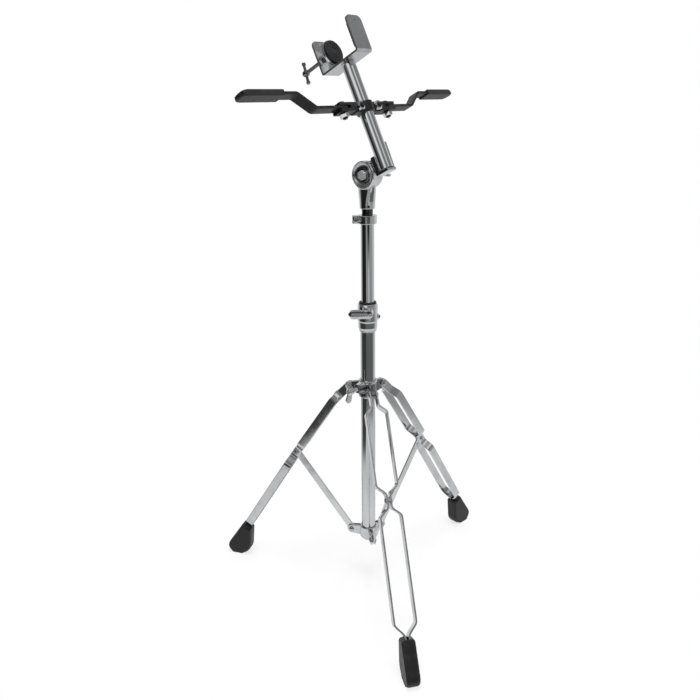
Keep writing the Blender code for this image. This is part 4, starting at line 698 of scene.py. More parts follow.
class FieldTree(Graph):
    """A Geometry Nodes tree that ends in Realize Instances and Set Material."""

    def __init__(self, name: str, sizes: dict[str, str]) -> None:
        """Start a tree.

        Args:
            name: Name of the tree.
            sizes: Socket type of each input, by name.
        """
        super().__init__(bpy.data.node_groups.new(name, "GeometryNodeTree"))
        face = self.tree.interface
        face.new_socket(name="Geometry", in_out="OUTPUT", socket_type="NodeSocketGeometry")
        face.new_socket(name="Geometry", in_out="INPUT", socket_type="NodeSocketGeometry")
        for label, kind in sizes.items():
            face.new_socket(name=label, in_out="INPUT", socket_type=kind)
        face.new_socket(name="Material", in_out="INPUT", socket_type="NodeSocketMaterial")
        self.given = self.tree.nodes.new("NodeGroupInput")

    def input(self, name: str) -> Socket:
        """One of the tree's inputs."""
        return Socket(self, self.given.outputs[name])

    def end(self, geometry: Socket) -> None:
        """Realize, set the material and send the geometry out."""
        real = self.get("GeometryNodeRealizeInstances", "Geometry", None, {"Geometry": geometry})
        dressed = self.get("GeometryNodeSetMaterial", "Geometry", None,
                           {"Geometry": real, "Material": self.input("Material")})
        self.add("NodeGroupOutput", {}, {"Geometry": dressed})


@functools.cache
def flat_bar_tree() -> bpy.types.NodeTree:
    """Tree that sweeps a flat bar with eased edges and round corners along a path.

    Returns:
        A tree whose geometry is a chain of edges with the vector "across" on it.
    """
    tree = FieldTree("flat_bar", {"Width": "NodeSocketFloat", "Thickness": "NodeSocketFloat",
                                  "Edge": "NodeSocketFloat", "Corner": "NodeSocketFloat"})
    across = tree.get("GeometryNodeInputNamedAttribute", "Attribute",
                      {"data_type": "FLOAT_VECTOR"}, {"Name": "across"})
    path = tree.get("GeometryNodeMeshToCurve", "Curve", None, {"Mesh": tree.input("Geometry")})
    path = tree.get("GeometryNodeSetCurveNormal", "Curve", {"mode": "FREE"},
                    {"Curve": path, "Normal": across})
    profile = tree.get("GeometryNodeCurvePrimitiveQuadrilateral", "Curve", {"mode": "RECTANGLE"},
                       {"Width": tree.input("Width"), "Height": tree.input("Thickness")})
    profile = tree.get("GeometryNodeFilletCurve", "Curve", {"mode": "POLY"},
                       {"Curve": profile, "Radius": tree.input("Edge"), "Count": 3,
                        "Limit Radius": True})
    # How far each point is from the nearer end, and where the centre line is
    along = tree.get("GeometryNodeSplineParameter", "Length")
    total = tree.get("GeometryNodeSplineLength", "Length")
    to_end = along.at_most(total - along)
    stored = path
    for label, kind, value in (("to_end", "FLOAT", to_end),
                               ("centre", "FLOAT_VECTOR", tree.get("GeometryNodeInputPosition",
                                                                   "Position"))):
        stored = tree.get("GeometryNodeStoreNamedAttribute", "Geometry",
                          {"data_type": kind, "domain": "POINT"},
                          {"Geometry": stored, "Name": label, "Value": value})
    bar = tree.get("GeometryNodeCurveToMesh", "Mesh", None,
                   {"Curve": stored, "Profile Curve": profile, "Fill Caps": True})

    def read(label: str, kind: str) -> Socket:
        """A stored attribute."""
        return tree.get("GeometryNodeInputNamedAttribute", "Attribute", {"data_type": kind},
                        {"Name": label})

    # A corner of radius c at distance s from the end narrows the half width by
    # c - sqrt(c^2 - (c - s)^2)
    corner = tree.input("Corner")
    inside = (corner - read("to_end", "FLOAT")).at_least(0.0)
    cut_back = corner - tree.maths("SQRT", (corner * corner - inside * inside).at_least(0.0))
    half = tree.input("Width") * 0.5
    share = (1 - cut_back / half).at_least(0.05)
    here = tree.get("GeometryNodeInputPosition", "Position")
    offset = tree.vectors("SUBTRACT", here, read("centre", "FLOAT_VECTOR"))
    side = tree.vectors("DOT_PRODUCT", offset, across, output="Value")
    shift = tree.vectors("SCALE", across)
    tree.tree.links.new((side * (share - 1)).output, shift.output.node.inputs["Scale"])
    bar = tree.get("GeometryNodeSetPosition", "Geometry", None, {"Geometry": bar, "Offset": shift})
    tree.end(bar)
    return tree.tree


def flat_bar(points: Sequence[Vector], across: Sequence[Vector], width: float, thickness: float,
             edge: float, corner: float, finish: Finish) -> Shape:
    """A bent flat bar.

    Args:
        points: Centre line.
        across: Direction of the bar's width at each point.
        width: Width of the bar.
        thickness: Its thickness.
        edge: Radius along its four edges.
        corner: Radius of the corners at both ends, seen on the flat.
        finish: Finish of the bar.

    Returns:
        A closed solid.
    """
    line = bpy.data.meshes.new("path")
    line.from_pydata([tuple(p) for p in points], [(i, i + 1) for i in range(len(points) - 1)], [])
    values = line.attributes.new("across", "FLOAT_VECTOR", "POINT")
    for item, vector in zip(values.data, across):
        item.vector = vector
    bar = Shape(line).with_modifier(
        "NODES", {"node_group": flat_bar_tree()},
        {"Width": width, "Thickness": thickness, "Edge": edge, "Corner": corner,
         "Material": finish.material()})
    bm = bmesh.new()
    bm.from_mesh(bar.mesh)
    return Shape.of(bm)


def end_stations(length: float, corner: float, pace: float) -> list[float]:
    """Distances along a bar, close together at its round ends."""
    near = [corner * (1 - math.cos(math.radians(9 * i))) for i in range(11)]
    count = max(1, round((length - 2 * corner) / pace))
    middle = [corner + (length - 2 * corner) * i / count for i in range(1, count)]
    return near + middle + [length - s for s in reversed(near)]


@functools.cache
def thread_tree() -> bpy.types.NodeTree:
    """Tree that makes a threaded rod from z = 0 up, with its ends turned down."""
    tree = FieldTree("thread", {"Radius": "NodeSocketFloat", "Length": "NodeSocketFloat",
                                "Pitch": "NodeSocketFloat"})
    radius, length, pitch = (tree.input(n) for n in ("Radius", "Length", "Pitch"))
    rings = tree.maths("ROUND", length / pitch * 8)
    core = tree.get("GeometryNodeMeshCylinder", "Mesh", {"fill_type": "NGON"},
                    {"Vertices": 28, "Side Segments": rings, "Radius": radius, "Depth": length})
    here = tree.get("GeometryNodeInputPosition", "Position")
    x, y, z = (tree.get("ShaderNodeSeparateXYZ", axis, None, {"Vector": here}) for axis in "XYZ")
    turn = tree.maths("ARCTAN2", y, x) / (2 * math.pi)
    wave = tree.maths("PINGPONG", z / pitch + turn + 100, 0.5) * 2
    depth = pitch * 0.55
    at_end = abs(z) - (length * 0.5 - depth * 1.1)
    share = 1 - (wave * depth).at_least(at_end) / radius
    moved = tree.get("ShaderNodeCombineXYZ", "Vector", None,
                     {"X": x * share, "Y": y * share, "Z": z + length * 0.5})
    tree.end(tree.get("GeometryNodeSetPosition", "Geometry", None,
                      {"Geometry": core, "Position": moved}))
    return tree.tree


def thread(radius: float, start: float, end: float, pitch: float, finish: Finish) -> Shape:
    """A threaded rod along Z from start to end."""
    empty = Shape(bpy.data.meshes.new("seed"))
    made = empty.with_modifier("NODES", {"node_group": thread_tree()},
                               {"Radius": radius, "Length": end - start, "Pitch": pitch,
                                "Material": finish.material()})
    return made.moved(Matrix.Translation((0, 0, start)))


@functools.cache
def scatter_tree() -> bpy.types.NodeTree:
    """Tree that puts a copy of a part on each point, facing the vector "facing"."""
    tree = FieldTree("scatter", {"Part": "NodeSocketObject"})
    facing = tree.get("GeometryNodeInputNamedAttribute", "Attribute",
                      {"data_type": "FLOAT_VECTOR"}, {"Name": "facing"})
    turn = tree.get("FunctionNodeAlignRotationToVector", "Rotation", {"axis": "Z"},
                    {"Vector": facing})
    part = tree.get("GeometryNodeObjectInfo", "Geometry", None, {"Object": tree.input("Part")})
    placed = tree.get("GeometryNodeInstanceOnPoints", "Instances", None,
                      {"Points": tree.input("Geometry"), "Instance": part, "Rotation": turn})
    tree.end(placed)
    return tree.tree


def scattered(part: Shape, spots: Sequence[tuple[Sequence[float], Sequence[float]]],
              finish: Finish) -> Shape:
    """Copies of a part at spots.

    Args:
        part: Part that stands on z = 0.
        spots: A place and the direction that +Z of the part faces, for each copy.
        finish: Finish of the copies.

    Returns:
        All copies in one mesh.
    """
    seeds = bpy.data.meshes.new("spots")
    seeds.from_pydata([tuple(place) for place, _ in spots], [], [])
    values = seeds.attributes.new("facing", "FLOAT_VECTOR", "POINT")
    for item, (_, facing) in zip(values.data, spots):
        item.vector = facing
    holder = bpy.data.objects.new("part", part.mesh)
    bpy.context.scene.collection.objects.link(holder)
    result = Shape(seeds).with_modifier("NODES", {"node_group": scatter_tree()},
                                        {"Part": holder, "Material": finish.material()})
    bpy.data.objects.remove(holder)
    return result


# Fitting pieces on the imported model

BODY_OF = {node: body for body, nodes in frame["record"]["behaviour"]["bodies"].items()
           for node in nodes}
SLOT_OF = {part["node"]: part["material_slot"] for part in frame["record"]["subparts"]}


def add_piece(name: str, body: str, shape: Shape, place: Matrix, finish: Finish) -> bpy.types.Object:
    """Put a finished mesh in the scene and let it ride on a body.

    Args:
        name: Name of the piece.
        body: Body that carries it.
        shape: The shape, in millimetres.
        place: Frame of the shape, in millimetres.
        finish: Its finish.

    Returns:
        The new piece.
    """
    mesh = shape.moved(Matrix.Scale(MM, 4) @ place).shaded().mesh
    for label in ("across", "to_end", "centre"):
        if label in mesh.attributes:
            mesh.attributes.remove(mesh.attributes[label])
    mesh.materials.clear()
    mesh.materials.append(finish.material())
    mesh.polygons.foreach_set("material_index", [0] * len(mesh.polygons))
    piece = bpy.data.objects.new(name, mesh)
    bpy.context.scene.collection.objects.link(piece)
    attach(piece, body)
    log.info("%s: %d faces", name, len(mesh.polygons))
    return piece


def fit(node: str, shape: Shape, place: Matrix, finish: Finish | None = None) -> None:
    """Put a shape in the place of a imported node.

    Args:
        node: The node that it stands for.
        shape: The shape, in millimetres.
        place: Frame of the shape, in millimetres.
        finish: Its finish, or None for the finish of the node's slot.
    """
    slot = SLOT_OF[node]
    piece = add_piece(node + "_detail", BODY_OF[node], shape, place,
                      finish or SLOT_FINISHES[slot])
    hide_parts(node)


def middle(node: str) -> Vector:
    """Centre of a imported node's box, in millimetres."""
    low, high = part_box(node)
    return (low + high) / 2 / MM


def span(node: str, axis: int) -> tuple[float, float]:
    """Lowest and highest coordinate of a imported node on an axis, in millimetres."""
    low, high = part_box(node)
    return low[axis] / MM, high[axis] / MM


def radial(angle: float, height: float) -> Matrix:
    """Frame whose Z points away from the column at an angle in degrees."""
    away = Vector((math.cos(math.radians(angle)), math.sin(math.radians(angle)), 0))
    return Matrix.Translation((0, 0, height)) @ away.to_track_quat("Z", "Y").to_matrix().to_4x4()


def turn_z(angle: float) -> Matrix:
    """Turn about the column, in degrees."""
    return Matrix.Rotation(math.radians(angle), 4, "Z")


COLUMN = Matrix.Translation((middle("lower_tube").x, middle("lower_tube").y, 0))
LOWER_TUBE = 12.7           # radii of the tubes
UPPER_TUBE = 11.1
STEM = 9.0
ARM_TUBE = 11.1
M8 = 4.0                    # radius of the M8 bolts, and their nut
M8_FLAT = 13.0
M8_NUT = 6.5
M8_PITCH = 1.25
RIVET = 3.0                 # radius of a rivet's shank, then of its head
RIVET_HEAD = 4.9
RIVET_DOME = 2.3


def rivet(half: float) -> Shape:
    """A rivet along Z with a domed head beyond +half and -half."""
    dome = arc((0, half), 1.0, 0, 90, 8)
    upper = [(RIVET_HEAD * x, half + (z - half) * RIVET_DOME) for x, z in dome]
    lower = [(x, -z) for x, z in reversed(upper)]
    return turned([*lower, (RIVET, -half), (RIVET, half), *upper], 0.0, BOLT_SIDES)


def wing(root: float, reach: float, low: float, high: float, thickness: float) -> Shape:
    """One wing of a wing nut or bolt, in XZ.

    Args:
        root: Where it leaves the hub.
        reach: How far its tip is from the axis.
        low: Lower edge.
        high: Upper edge of the tip, less 1.5.
        thickness: Thickness at the hub.

    Returns:
        A blade that narrows to a round lobe.
    """
    swell = 0.5 * (high - low)
    inside = 0.4 * root
    outline = [(inside, low), (root, low)]
    outline += arc((reach - swell, high - swell + 1.5), swell, -60, 110, 18)
    outline += [(root, high - 2.5), (inside, high - 2.5)]
    return prism(outline, -thickness / 2, thickness / 2).moved(Along.UPRIGHT.value)


@dataclass(frozen=True)
class Column:
    """Two telescoping tubes, the clamp between them and the ring on top."""

    wall: float = 1.2
    plug_radius: float = 11.15
    plug_head: float = 3.0
    clamp_sleeve_radius: float = 16.0
    clamp_sleeve: float = 17.5
    clamp_lip_radius: float = 14.9
    clamp_radius: float = 17.0
    bushing_lip_radius: float = 14.6
    bushing_lip: float = 1.6
    lever_angle: float = -49.8
    lever_height: float = 530.5
    lever_boss_radius: float = 7.5
    lever_boss_reach: float = 19.5
    lever_hub_radius: float = 7.8
    lever_hub: float = 9.0
    lever_shank: float = 3.7
    lever_reach: float = 33.0
    lever_tip_radius: float = 8.4
    lever_root_half: float = 7.6
    lever_thickness: float = 6.0
    set_screw_angle: float = 40.2
    set_screw_height: float = 519.0
    set_screw_radius: float = 1.9
    set_screw_head_radius: float = 2.9
    set_screw_head: float = 1.8
    set_screw_boss_radius: float = 5.0
    set_screw_boss_reach: float = 19.0
    ring_radius: float = 15.4
    lug_angle: float = 220.2
    lug_reach: float = 24.5
    lug_half: float = 7.0
    lug_inset: float = 0.7
    slit: float = 1.5
    key_bolt_radius: float = 2.9
    key_bolt_at: float = 18.8
    key_head_radius: float = 4.6
    key_head: float = 2.6
    key_half: float = 2.4
    key_length: float = 3.6

    def build(self) -> None:
        """Make every piece of the column."""
        for node, radius in (("lower_tube", LOWER_TUBE), ("upper_tube", UPPER_TUBE)):
            fit(node, pipe(radius, self.wall, *span(node, 2)), COLUMN, TUBE_CHROME)
        self.build_plug()
        self.build_height_clamp()
        self.build_bushing()
        self.build_set_screw()
        self.build_lever()
        self.build_lock_ring()
        self.build_key_bolt()

    def build_plug(self) -> None:
        """Nylon plug in the lower tube's foot, ribbed where it grips."""
        bottom, top = span("tube_plug", 2)
        seat = bottom + self.plug_head
        profile = [(0, bottom), (LOWER_TUBE, bottom, 1.5), (LOWER_TUBE, seat),
                   (self.plug_radius - 0.6, seat)]
        ribs = 5
        pitch = (top - seat - 2.5) / ribs
        for i in range(ribs):
            start = seat + 0.5 + i * pitch
            profile += [(self.plug_radius - 0.6, start), (self.plug_radius, start + 0.3 * pitch),
                        (self.plug_radius, start + 0.6 * pitch)]
        profile += [(self.plug_radius - 1.5, top), (0, top)]
        fit("tube_plug", turned(profile, 0.2), COLUMN)

    def build_height_clamp(self) -> None:
        """Cast clamp with bosses for the lever screw and the set screw."""
        bottom, top = span("height_clamp", 2)
        sleeve_top = bottom + self.clamp_sleeve
        sleeve = self.clamp_sleeve_radius
        body = turned([(0, bottom), (self.clamp_lip_radius, bottom),
                       (self.clamp_lip_radius, bottom + 2.5), (sleeve, bottom + 6.5),
                       (sleeve + 0.4, sleeve_top), (self.clamp_radius, sleeve_top + 1.6),
                       (self.clamp_radius, top - 4.5, 3.0), (self.clamp_radius - 1.2, top - 0.8),
                       (self.clamp_radius - 2.2, top), (0, top)], 0.5)
        lever_line = radial(self.lever_angle, self.lever_height)
        screw_line = radial(self.set_screw_angle, self.set_screw_height)
        boss = turned([(0, 8), (self.lever_boss_radius + 2.4, 8), (self.lever_boss_radius + 1.2, 16),
                       (self.lever_boss_radius, self.lever_boss_reach),
                       (0, self.lever_boss_reach)], 0.8)
        small = rod(self.set_screw_boss_radius, 8, self.set_screw_boss_reach, 0.8)
        body = (body + boss.moved(lever_line) + small.moved(screw_line)).cast(0.5)
        body -= rod(LOWER_TUBE + BORE_GAP, bottom - 5, top + 5, 0, SIDES)
        body -= rod(self.lever_shank + BORE_GAP, 0, 40).moved(lever_line)
        body -= rod(self.set_screw_radius + BORE_GAP, 0, 40).moved(screw_line)
        fit("height_clamp", body, COLUMN)

    def build_bushing(self) -> None:
        """Nylon sleeve that guides the upper tube."""
        bottom, top = span("height_bushing", 2)
        inner = UPPER_TUBE + BORE_GAP
        lip = top - self.bushing_lip
        profile = [(inner, bottom), (LOWER_TUBE, bottom), (LOWER_TUBE, lip),
                   (self.bushing_lip_radius, lip), (self.bushing_lip_radius, top, 0.9), (inner, top)]
        fit("height_bushing", turned(profile, 0.25), COLUMN)

    def build_set_screw(self) -> None:
        """Socket-head screw that fixes the clamp to the lower tube."""
        seat = self.set_screw_boss_reach + GAP
        end = seat + self.set_screw_head
        screw = turned([(0, LOWER_TUBE + GAP), (self.set_screw_radius, LOWER_TUBE + GAP),
                        (self.set_screw_radius, seat), (self.set_screw_head_radius, seat),
                        (self.set_screw_head_radius, end, 0.7), (0, end)], 0.15, BOLT_SIDES)
        socket = hexagon_rod(2.6, end - 1.3, end + 1, chamfered=(False, False))
        fit("clamp_set_screw", screw - socket,
            COLUMN @ radial(self.set_screw_angle, self.set_screw_height))

    @staticmethod
    def bulge(share: float) -> float:
        """Square a circle's coordinate up a little, so that a section is fuller."""
        return math.copysign(abs(share) ** 0.72, share)

    def build_lever(self) -> None:
        """Lever screw: a turned hub and a thick paddle with a pillowed face."""
        start = LOWER_TUBE + GAP
        seat = self.lever_boss_reach + GAP
        end = seat + self.lever_hub
        centre = self.lever_reach - self.lever_tip_radius
        middle_depth = end - 0.6 - self.lever_thickness / 2
        sides = 48
        rings = []
        for step in range(0, 13):
            reach = self.lever_reach * (1 - step / 12) ** 2 if step else self.lever_reach - 0.15
            into = min((self.lever_reach - reach) / self.lever_tip_radius, 1.0)
            full = self.lever_root_half + (self.lever_tip_radius - self.lever_root_half) * reach / centre
            half = min(full, self.lever_tip_radius) * math.sqrt(1 - (1 - into) ** 2)
            deep = self.lever_thickness / 2 * math.sqrt(1 - (1 - min(2 * into, 1.0)) ** 2)
            rings.append([(middle_depth + deep * self.bulge(x), -reach, half * self.bulge(z))
                          for x, z in arc((0, 0), 1, 0, 360 * (1 - 1 / sides), sides - 1)])
        paddle = lofted(rings)
        hub = turned([(0, seat), (self.lever_hub_radius, seat), (self.lever_hub_radius, end - 1, 2.4),
                      (self.lever_hub_radius - 3.2, end - 0.4), (0, end)], 0.5)
        head = (paddle + hub.moved(Along.X.value)).cast(0.42, 3)
        shank = rod(self.lever_shank, start, seat + 2, 0.4).moved(Along.X.value)
        fit("clamp_lever", head + shank,
            COLUMN @ Matrix.Translation((0, 0, self.lever_height)) @ turn_z(self.lever_angle),
            RING_CHROME)

    def build_lock_ring(self) -> None:
        """Split ring with a lug; it sits on the tube and grips the stem."""
        bottom, top = span("lock_ring", 2)
        step = span("upper_tube", 2)[1] + GAP
        ring = turned([(0, bottom), (self.ring_radius, bottom), (self.ring_radius, top),
                       (0, top)], 0.8)
        lug = prism(rounded([(8, -self.lug_half), (self.lug_reach, -self.lug_half, 3),
                             (self.lug_reach, self.lug_half, 3), (8, self.lug_half)]),
                    bottom + self.lug_inset, top - self.lug_inset)
        ring = (ring + lug).cast(0.4, 5)
        ring -= rod(UPPER_TUBE + BORE_GAP, bottom - 5, step, 0, SIDES)
        ring -= rod(STEM + BORE_GAP, step - 1, top + 5, 0, SIDES)
        ring -= block((0, -self.slit / 2, bottom - 5), (40, self.slit / 2, top + 5))
        hole = rod(self.key_bolt_radius + BORE_GAP, -20, 20).moved(Along.Y.value)
        ring -= hole.moved(Matrix.Translation((self.key_bolt_at, 0, (bottom + top) / 2)))
        fit("lock_ring", ring, COLUMN @ turn_z(self.lug_angle), RING_CHROME)

    def build_key_bolt(self) -> None:
        """Square-headed key bolt across the lug."""
        seat = self.lug_half + GAP
        head_end = seat + self.key_head
        bolt = turned([(0, -seat - 1.5), (self.key_bolt_radius, -seat - 1.5),
                       (self.key_bolt_radius, seat), (self.key_head_radius, seat),
                       (self.key_head_radius, head_end - 0.9), (self.key_head_radius - 0.9, head_end),
                       (0, head_end)], 0.25, BOLT_SIDES)
        key = block((-self.key_half, -self.key_half, seat + 1),
                    (self.key_half, self.key_half, head_end + self.key_length)).bevelled(0.5)
        height = sum(span("lock_ring", 2)) / 2
        place = Matrix.Translation((self.key_bolt_at, 0, height)) @ Along.Y.value
        fit("lock_bolt", bolt + key, COLUMN @ turn_z(self.lug_angle) @ place)


@dataclass(frozen=True)
class Tripod:
    """Two collars, and three legs of paired strips with struts and boots."""

    angles: tuple[float, ...] = (-37.65, 82.35, 202.35)
    collar_radius: float = 16.2
    base_collar_radius: float = 15.6
    hinge: tuple[float, float] = (34.0, 390.0)
    bend: tuple[float, float] = (60.7, 362.5)
    joint: tuple[float, float] = (138.0, 245.0)
    foot: tuple[float, float] = (250.0, 65.0)
    strut_hinge: tuple[float, float] = (32.0, 98.5)
    strip_width: float = 15.0
    strip_thickness: float = 3.0
    spread: float = 18.0
    bend_ease: float = 3.0
    pinch: float = 9.0
    top_bow: float = 15.0
    bow: float = 18.0
    foot_bow: float = 23.0
    in_foot: float = 18.0
    strut_width: float = 13.0
    strut_thickness: float = 2.8
    lug_thickness: float = 8.0
    lug_radius: float = 7.8
    ear_thickness: float = 2.6
    ear_radius: float = 8.4
    # Heights of the painted highlight bands at the leg collar's foot and top.
    painted_highlight_bands: tuple[float, float] = (2.6, 4.0)
    wing_bolt_angle: float = -97.65
    wing_bolt_height: float = 394.5
    wing_boss_radius: float = 8.2
    wing_boss_root: float = 10.6
    wing_boss_reach: float = 27.0
    wing_shank: float = 3.8
    wing_hub: tuple[float, float] = (37.0, 48.0)
    wing_hub_radius: float = 6.4
    wing_span: float = 41.0
    wing_thickness: float = 3.6
    foot_thickness: float = 23.0
    foot_edge: float = 5.0
    foot_corners: tuple[tuple[float, float, float], ...] = (
        (-11.6, 60.0, 2.0), (-19.3, 46.0, 12.0), (-43.4, 0.0, 23.0), (9.3, 0.0, 13.0),
        (14.7, 22.0, 24.0), (11.9, 68.0, 2.0))
    treads: int = 6

    def build(self) -> None:
        """Make both collars and the three legs."""
        self.build_leg_collar()
        self.build_wing_bolt()
        self.build_lower_collar()
        for number, angle in enumerate(self.angles, start=1):
            plane = COLUMN @ turn_z(angle)
            self.build_pins(number, plane)
            self.build_strips(number, plane)
            self.build_strut(number, plane)
            self.build_boot(number, plane)

    @property
    def at_joint(self) -> float:
        """Centre line of a strip beside the strut, counted from the leg's plane."""
        return self.strut_thickness / 2 + GAP + self.strip_thickness / 2

    def bored(self, casting: Shape, spot: tuple[float, float], bottom: float, top: float) -> Shape:
        """Cut the tube's bore and the three rivet holes."""
        casting -= rod(LOWER_TUBE + BORE_GAP, bottom - 5, top + 5, 0, SIDES)
        for angle in self.angles:
            hole = rod(RIVET + BORE_GAP, -20, 20).moved(Along.Y.value)
            casting -= hole.moved(turn_z(angle) @ Matrix.Translation((spot[0], 0, spot[1])))
        return casting

    def build_leg_collar(self) -> None:
        """Sliding collar with three hinge lugs and a boss for the wing bolt."""
        bottom, top = span("leg_collar", 2)
        radius = self.collar_radius
        casting = turned([(0, bottom), (radius - 0.4, bottom), (radius, bottom + 0.4),
                          (radius, bottom + 2.6), (radius - 0.7, bottom + 3.4),
                          (radius - 0.7, top - 4.6), (radius, top - 3.8), (radius, top, 1.2),
                          (0, top)], 0.4)
        for angle in self.angles:
            outline = arc(self.hinge, self.lug_radius, -90, 90, 24)
            outline += [(9, top - 3), (9, bottom + 1)]
            half = self.lug_thickness / 2
            lug = prism(outline, -half, half).moved(turn_z(angle) @ Along.UPRIGHT.value)
            casting += lug
        line = radial(self.wing_bolt_angle, self.wing_bolt_height)
        boss = turned([(0, 8), (self.wing_boss_root + 1, 8), (self.wing_boss_root, 15),
                       (self.wing_boss_radius, self.wing_boss_reach - 3),
                       (self.wing_boss_radius, self.wing_boss_reach), (0, self.wing_boss_reach)], 1.2)
        casting = (casting + boss.moved(line)).cast(0.5)
        casting = self.bored(casting, self.hinge, bottom, top)
        casting -= rod(self.wing_shank + BORE_GAP, 0, 60).moved(line)
        # The collar's middle is painted dark as shade; its foot and top bands stay bright as painted
        # highlights.
        foot, cap = self.painted_highlight_bands
        painted_light = PaintedRimHighlights("collar_chrome", worn=(0.16, 0.16, 0.17), gloss=0.08, matt=0.18, grain=260.0,
                       relief=0.03, low=(bottom + foot) * MM, high=(top - cap) * MM)
        fit("leg_collar", casting, COLUMN, painted_light)

    def build_wing_bolt(self) -> None:
        """Wing bolt that locks the leg collar on the tube."""
        start, end = self.wing_hub
        hub = turned([(0, start), (self.wing_hub_radius, start), (self.wing_hub_radius, end - 3),
                      (self.wing_hub_radius - 2, end), (0, end)], 1.0, BOLT_SIDES)
        for turn in (0, 180):
            blade = wing(self.wing_hub_radius - 1, self.wing_span / 2, start + 1.5, end + 2.5,
                         self.wing_thickness)
            hub += blade.moved(turn_z(turn))
        shank = thread(self.wing_shank, LOWER_TUBE + GAP, start + 1, M8_PITCH, CAST_CHROME)
        turn = turn_z(self.wing_bolt_angle) @ Along.X.value
        fit("collar_wing_bolt", hub.cast(0.42) + shank,
            COLUMN @ Matrix.Translation((0, 0, self.wing_bolt_height)) @ turn, SATIN_CHROME)

    def build_lower_collar(self) -> None:
        """Fixed collar with a pair of ears for each strut."""
        bottom, top = span("lower_collar", 2)
        casting = turned([(0, bottom), (self.base_collar_radius, bottom),
                          (self.base_collar_radius, top), (0, top)], 1.2)
        inner = self.strut_thickness / 2 + GAP
        for angle in self.angles:
            outline = arc(self.strut_hinge, self.ear_radius, -90, 90, 24)
            outline += [(9, top - 2), (9, bottom + 1)]
            for low in (-inner - self.ear_thickness, inner):
                ear = prism(outline, low, low + self.ear_thickness)
                casting += ear.moved(turn_z(angle) @ Along.UPRIGHT.value)
        casting = self.bored(casting.cast(0.45, 4), self.strut_hinge, bottom, top)
        fit("lower_collar", casting, COLUMN)

    def build_pins(self, number: int, plane: Matrix) -> None:
        """Rivets at the leg's hinge and at the strut's foot."""
        for node, spot, half in (
                (f"leg_{number}_pin", self.hinge,
                 self.lug_thickness / 2 + 2 * GAP + self.strip_thickness),
                (f"strut_{number}_pin", self.strut_hinge,
                 self.strut_thickness / 2 + 2 * GAP + self.ear_thickness)):
            place = Matrix.Translation((spot[0], 0, spot[1])) @ Along.Y.value
            fit(node, rivet(half), plane @ place)

    def strip_offset(self, distance: float, marks: Sequence[float]) -> float:
        """How far a strip's centre line is from the leg's plane.

        Args:
            distance: Distance down the leg from the hinge.
            marks: Distances of the bend, the strut joint and the boot's mouth.

        Returns:
            The offset in millimetres.
        """
        bend, joint, mouth = marks
        at_lug = self.lug_thickness / 2 + GAP + self.strip_thickness / 2
        if distance < bend:
            share = smooth_step(1 - (bend - self.bend_ease - distance) / self.top_bow)
            return at_lug + share * (self.spread - at_lug)
        past_pinch = smooth_step((abs(distance - joint) - self.pinch) / self.bow)
        before_boot = smooth_step((mouth - GAP - distance) / self.foot_bow)
        share = min(past_pinch, before_boot)
        return self.at_joint + share * (self.spread - self.at_joint)

    def build_strips(self, number: int, plane: Matrix) -> None:
        """The two bowed strips of a leg, and the rivet heads at the strut."""
        hinge, bend, joint, foot = (Vector(p) for p in (self.hinge, self.bend, self.joint, self.foot))
        end_radius = self.strip_width / 2
        first = hinge - (bend - hinge).normalized() * end_radius
        last = foot + (foot - joint).normalized() * self.in_foot
        route = Route([tuple(first), (*bend, 40.0), (*joint, 60.0), tuple(last)],
                      Along.UPRIGHT.value)
        marks = [(bend - hinge).length]
        marks.append(marks[0] + (joint - bend).length)
        marks.append(marks[1] + (foot - joint).length)
        joint_spot = Vector((joint.x, 0, joint.y))
        for side, letter in ((-1, "a"), (1, "b")):
            points = []
            for distance in end_stations(route.marks[-1], end_radius, 2.0):
                point, _ = route.at(distance)
                point.y = side * self.strip_offset(distance - end_radius, marks)
                points.append(point)
            across = []
            for i in range(len(points)):
                run = points[min(i + 1, len(points) - 1)] - points[max(i - 1, 0)]
                across.append(Vector((0, 1, 0)).cross(run).normalized())
            bar = flat_bar(points, across, self.strip_width, self.strip_thickness, 0.8,
                           end_radius - 0.1, STRIP_CHROME)
            hole = rod(RIVET + BORE_GAP, -30, 30).moved(Along.Y.value)
            bar -= hole.moved(Matrix.Translation((hinge.x, 0, hinge.y)))
            fit(f"leg_{number}_strip_{letter}", bar, plane, STRIP_CHROME)
        head = turned([(0, -0.4), (RIVET_HEAD, -0.4),
                       *[(RIVET_HEAD * x, z * RIVET_DOME) for x, z in arc((0, 0), 1, 0, 90, 8)]],
                      0.0, BOLT_SIDES)
        face = self.at_joint + self.strip_thickness / 2
        spots = [(joint_spot + Vector((0, side * face, 0)), (0, side, 0)) for side in (-1, 1)]
        heads = scattered(head, spots, ZINC)
        add_piece(f"leg_{number}_rivet_heads", f"leg_{number}", heads, plane, ZINC)

    def build_strut(self, number: int, plane: Matrix) -> None:
        """Flat brace between the lower collar and the leg."""
        start, end = (Vector((p[0], 0, p[1])) for p in (self.strut_hinge, self.joint))
        run = (end - start).normalized()
        end_radius = self.strut_width / 2
        length = (end - start).length + 2 * end_radius
        first = start - run * end_radius
        points = [first + run * s for s in end_stations(length, end_radius, 12.0)]
        across = [Vector((0, 1, 0)).cross(run)] * len(points)
        bar = flat_bar(points, across, self.strut_width, self.strut_thickness, 0.6,
                       end_radius - 0.1, STRIP_CHROME)
        for spot in (start, end):
            bar -= rod(RIVET + BORE_GAP, -10, 10).moved(Matrix.Translation(spot) @ Along.Y.value)
        fit(f"leg_{number}_strut", bar, plane, STRIP_CHROME)

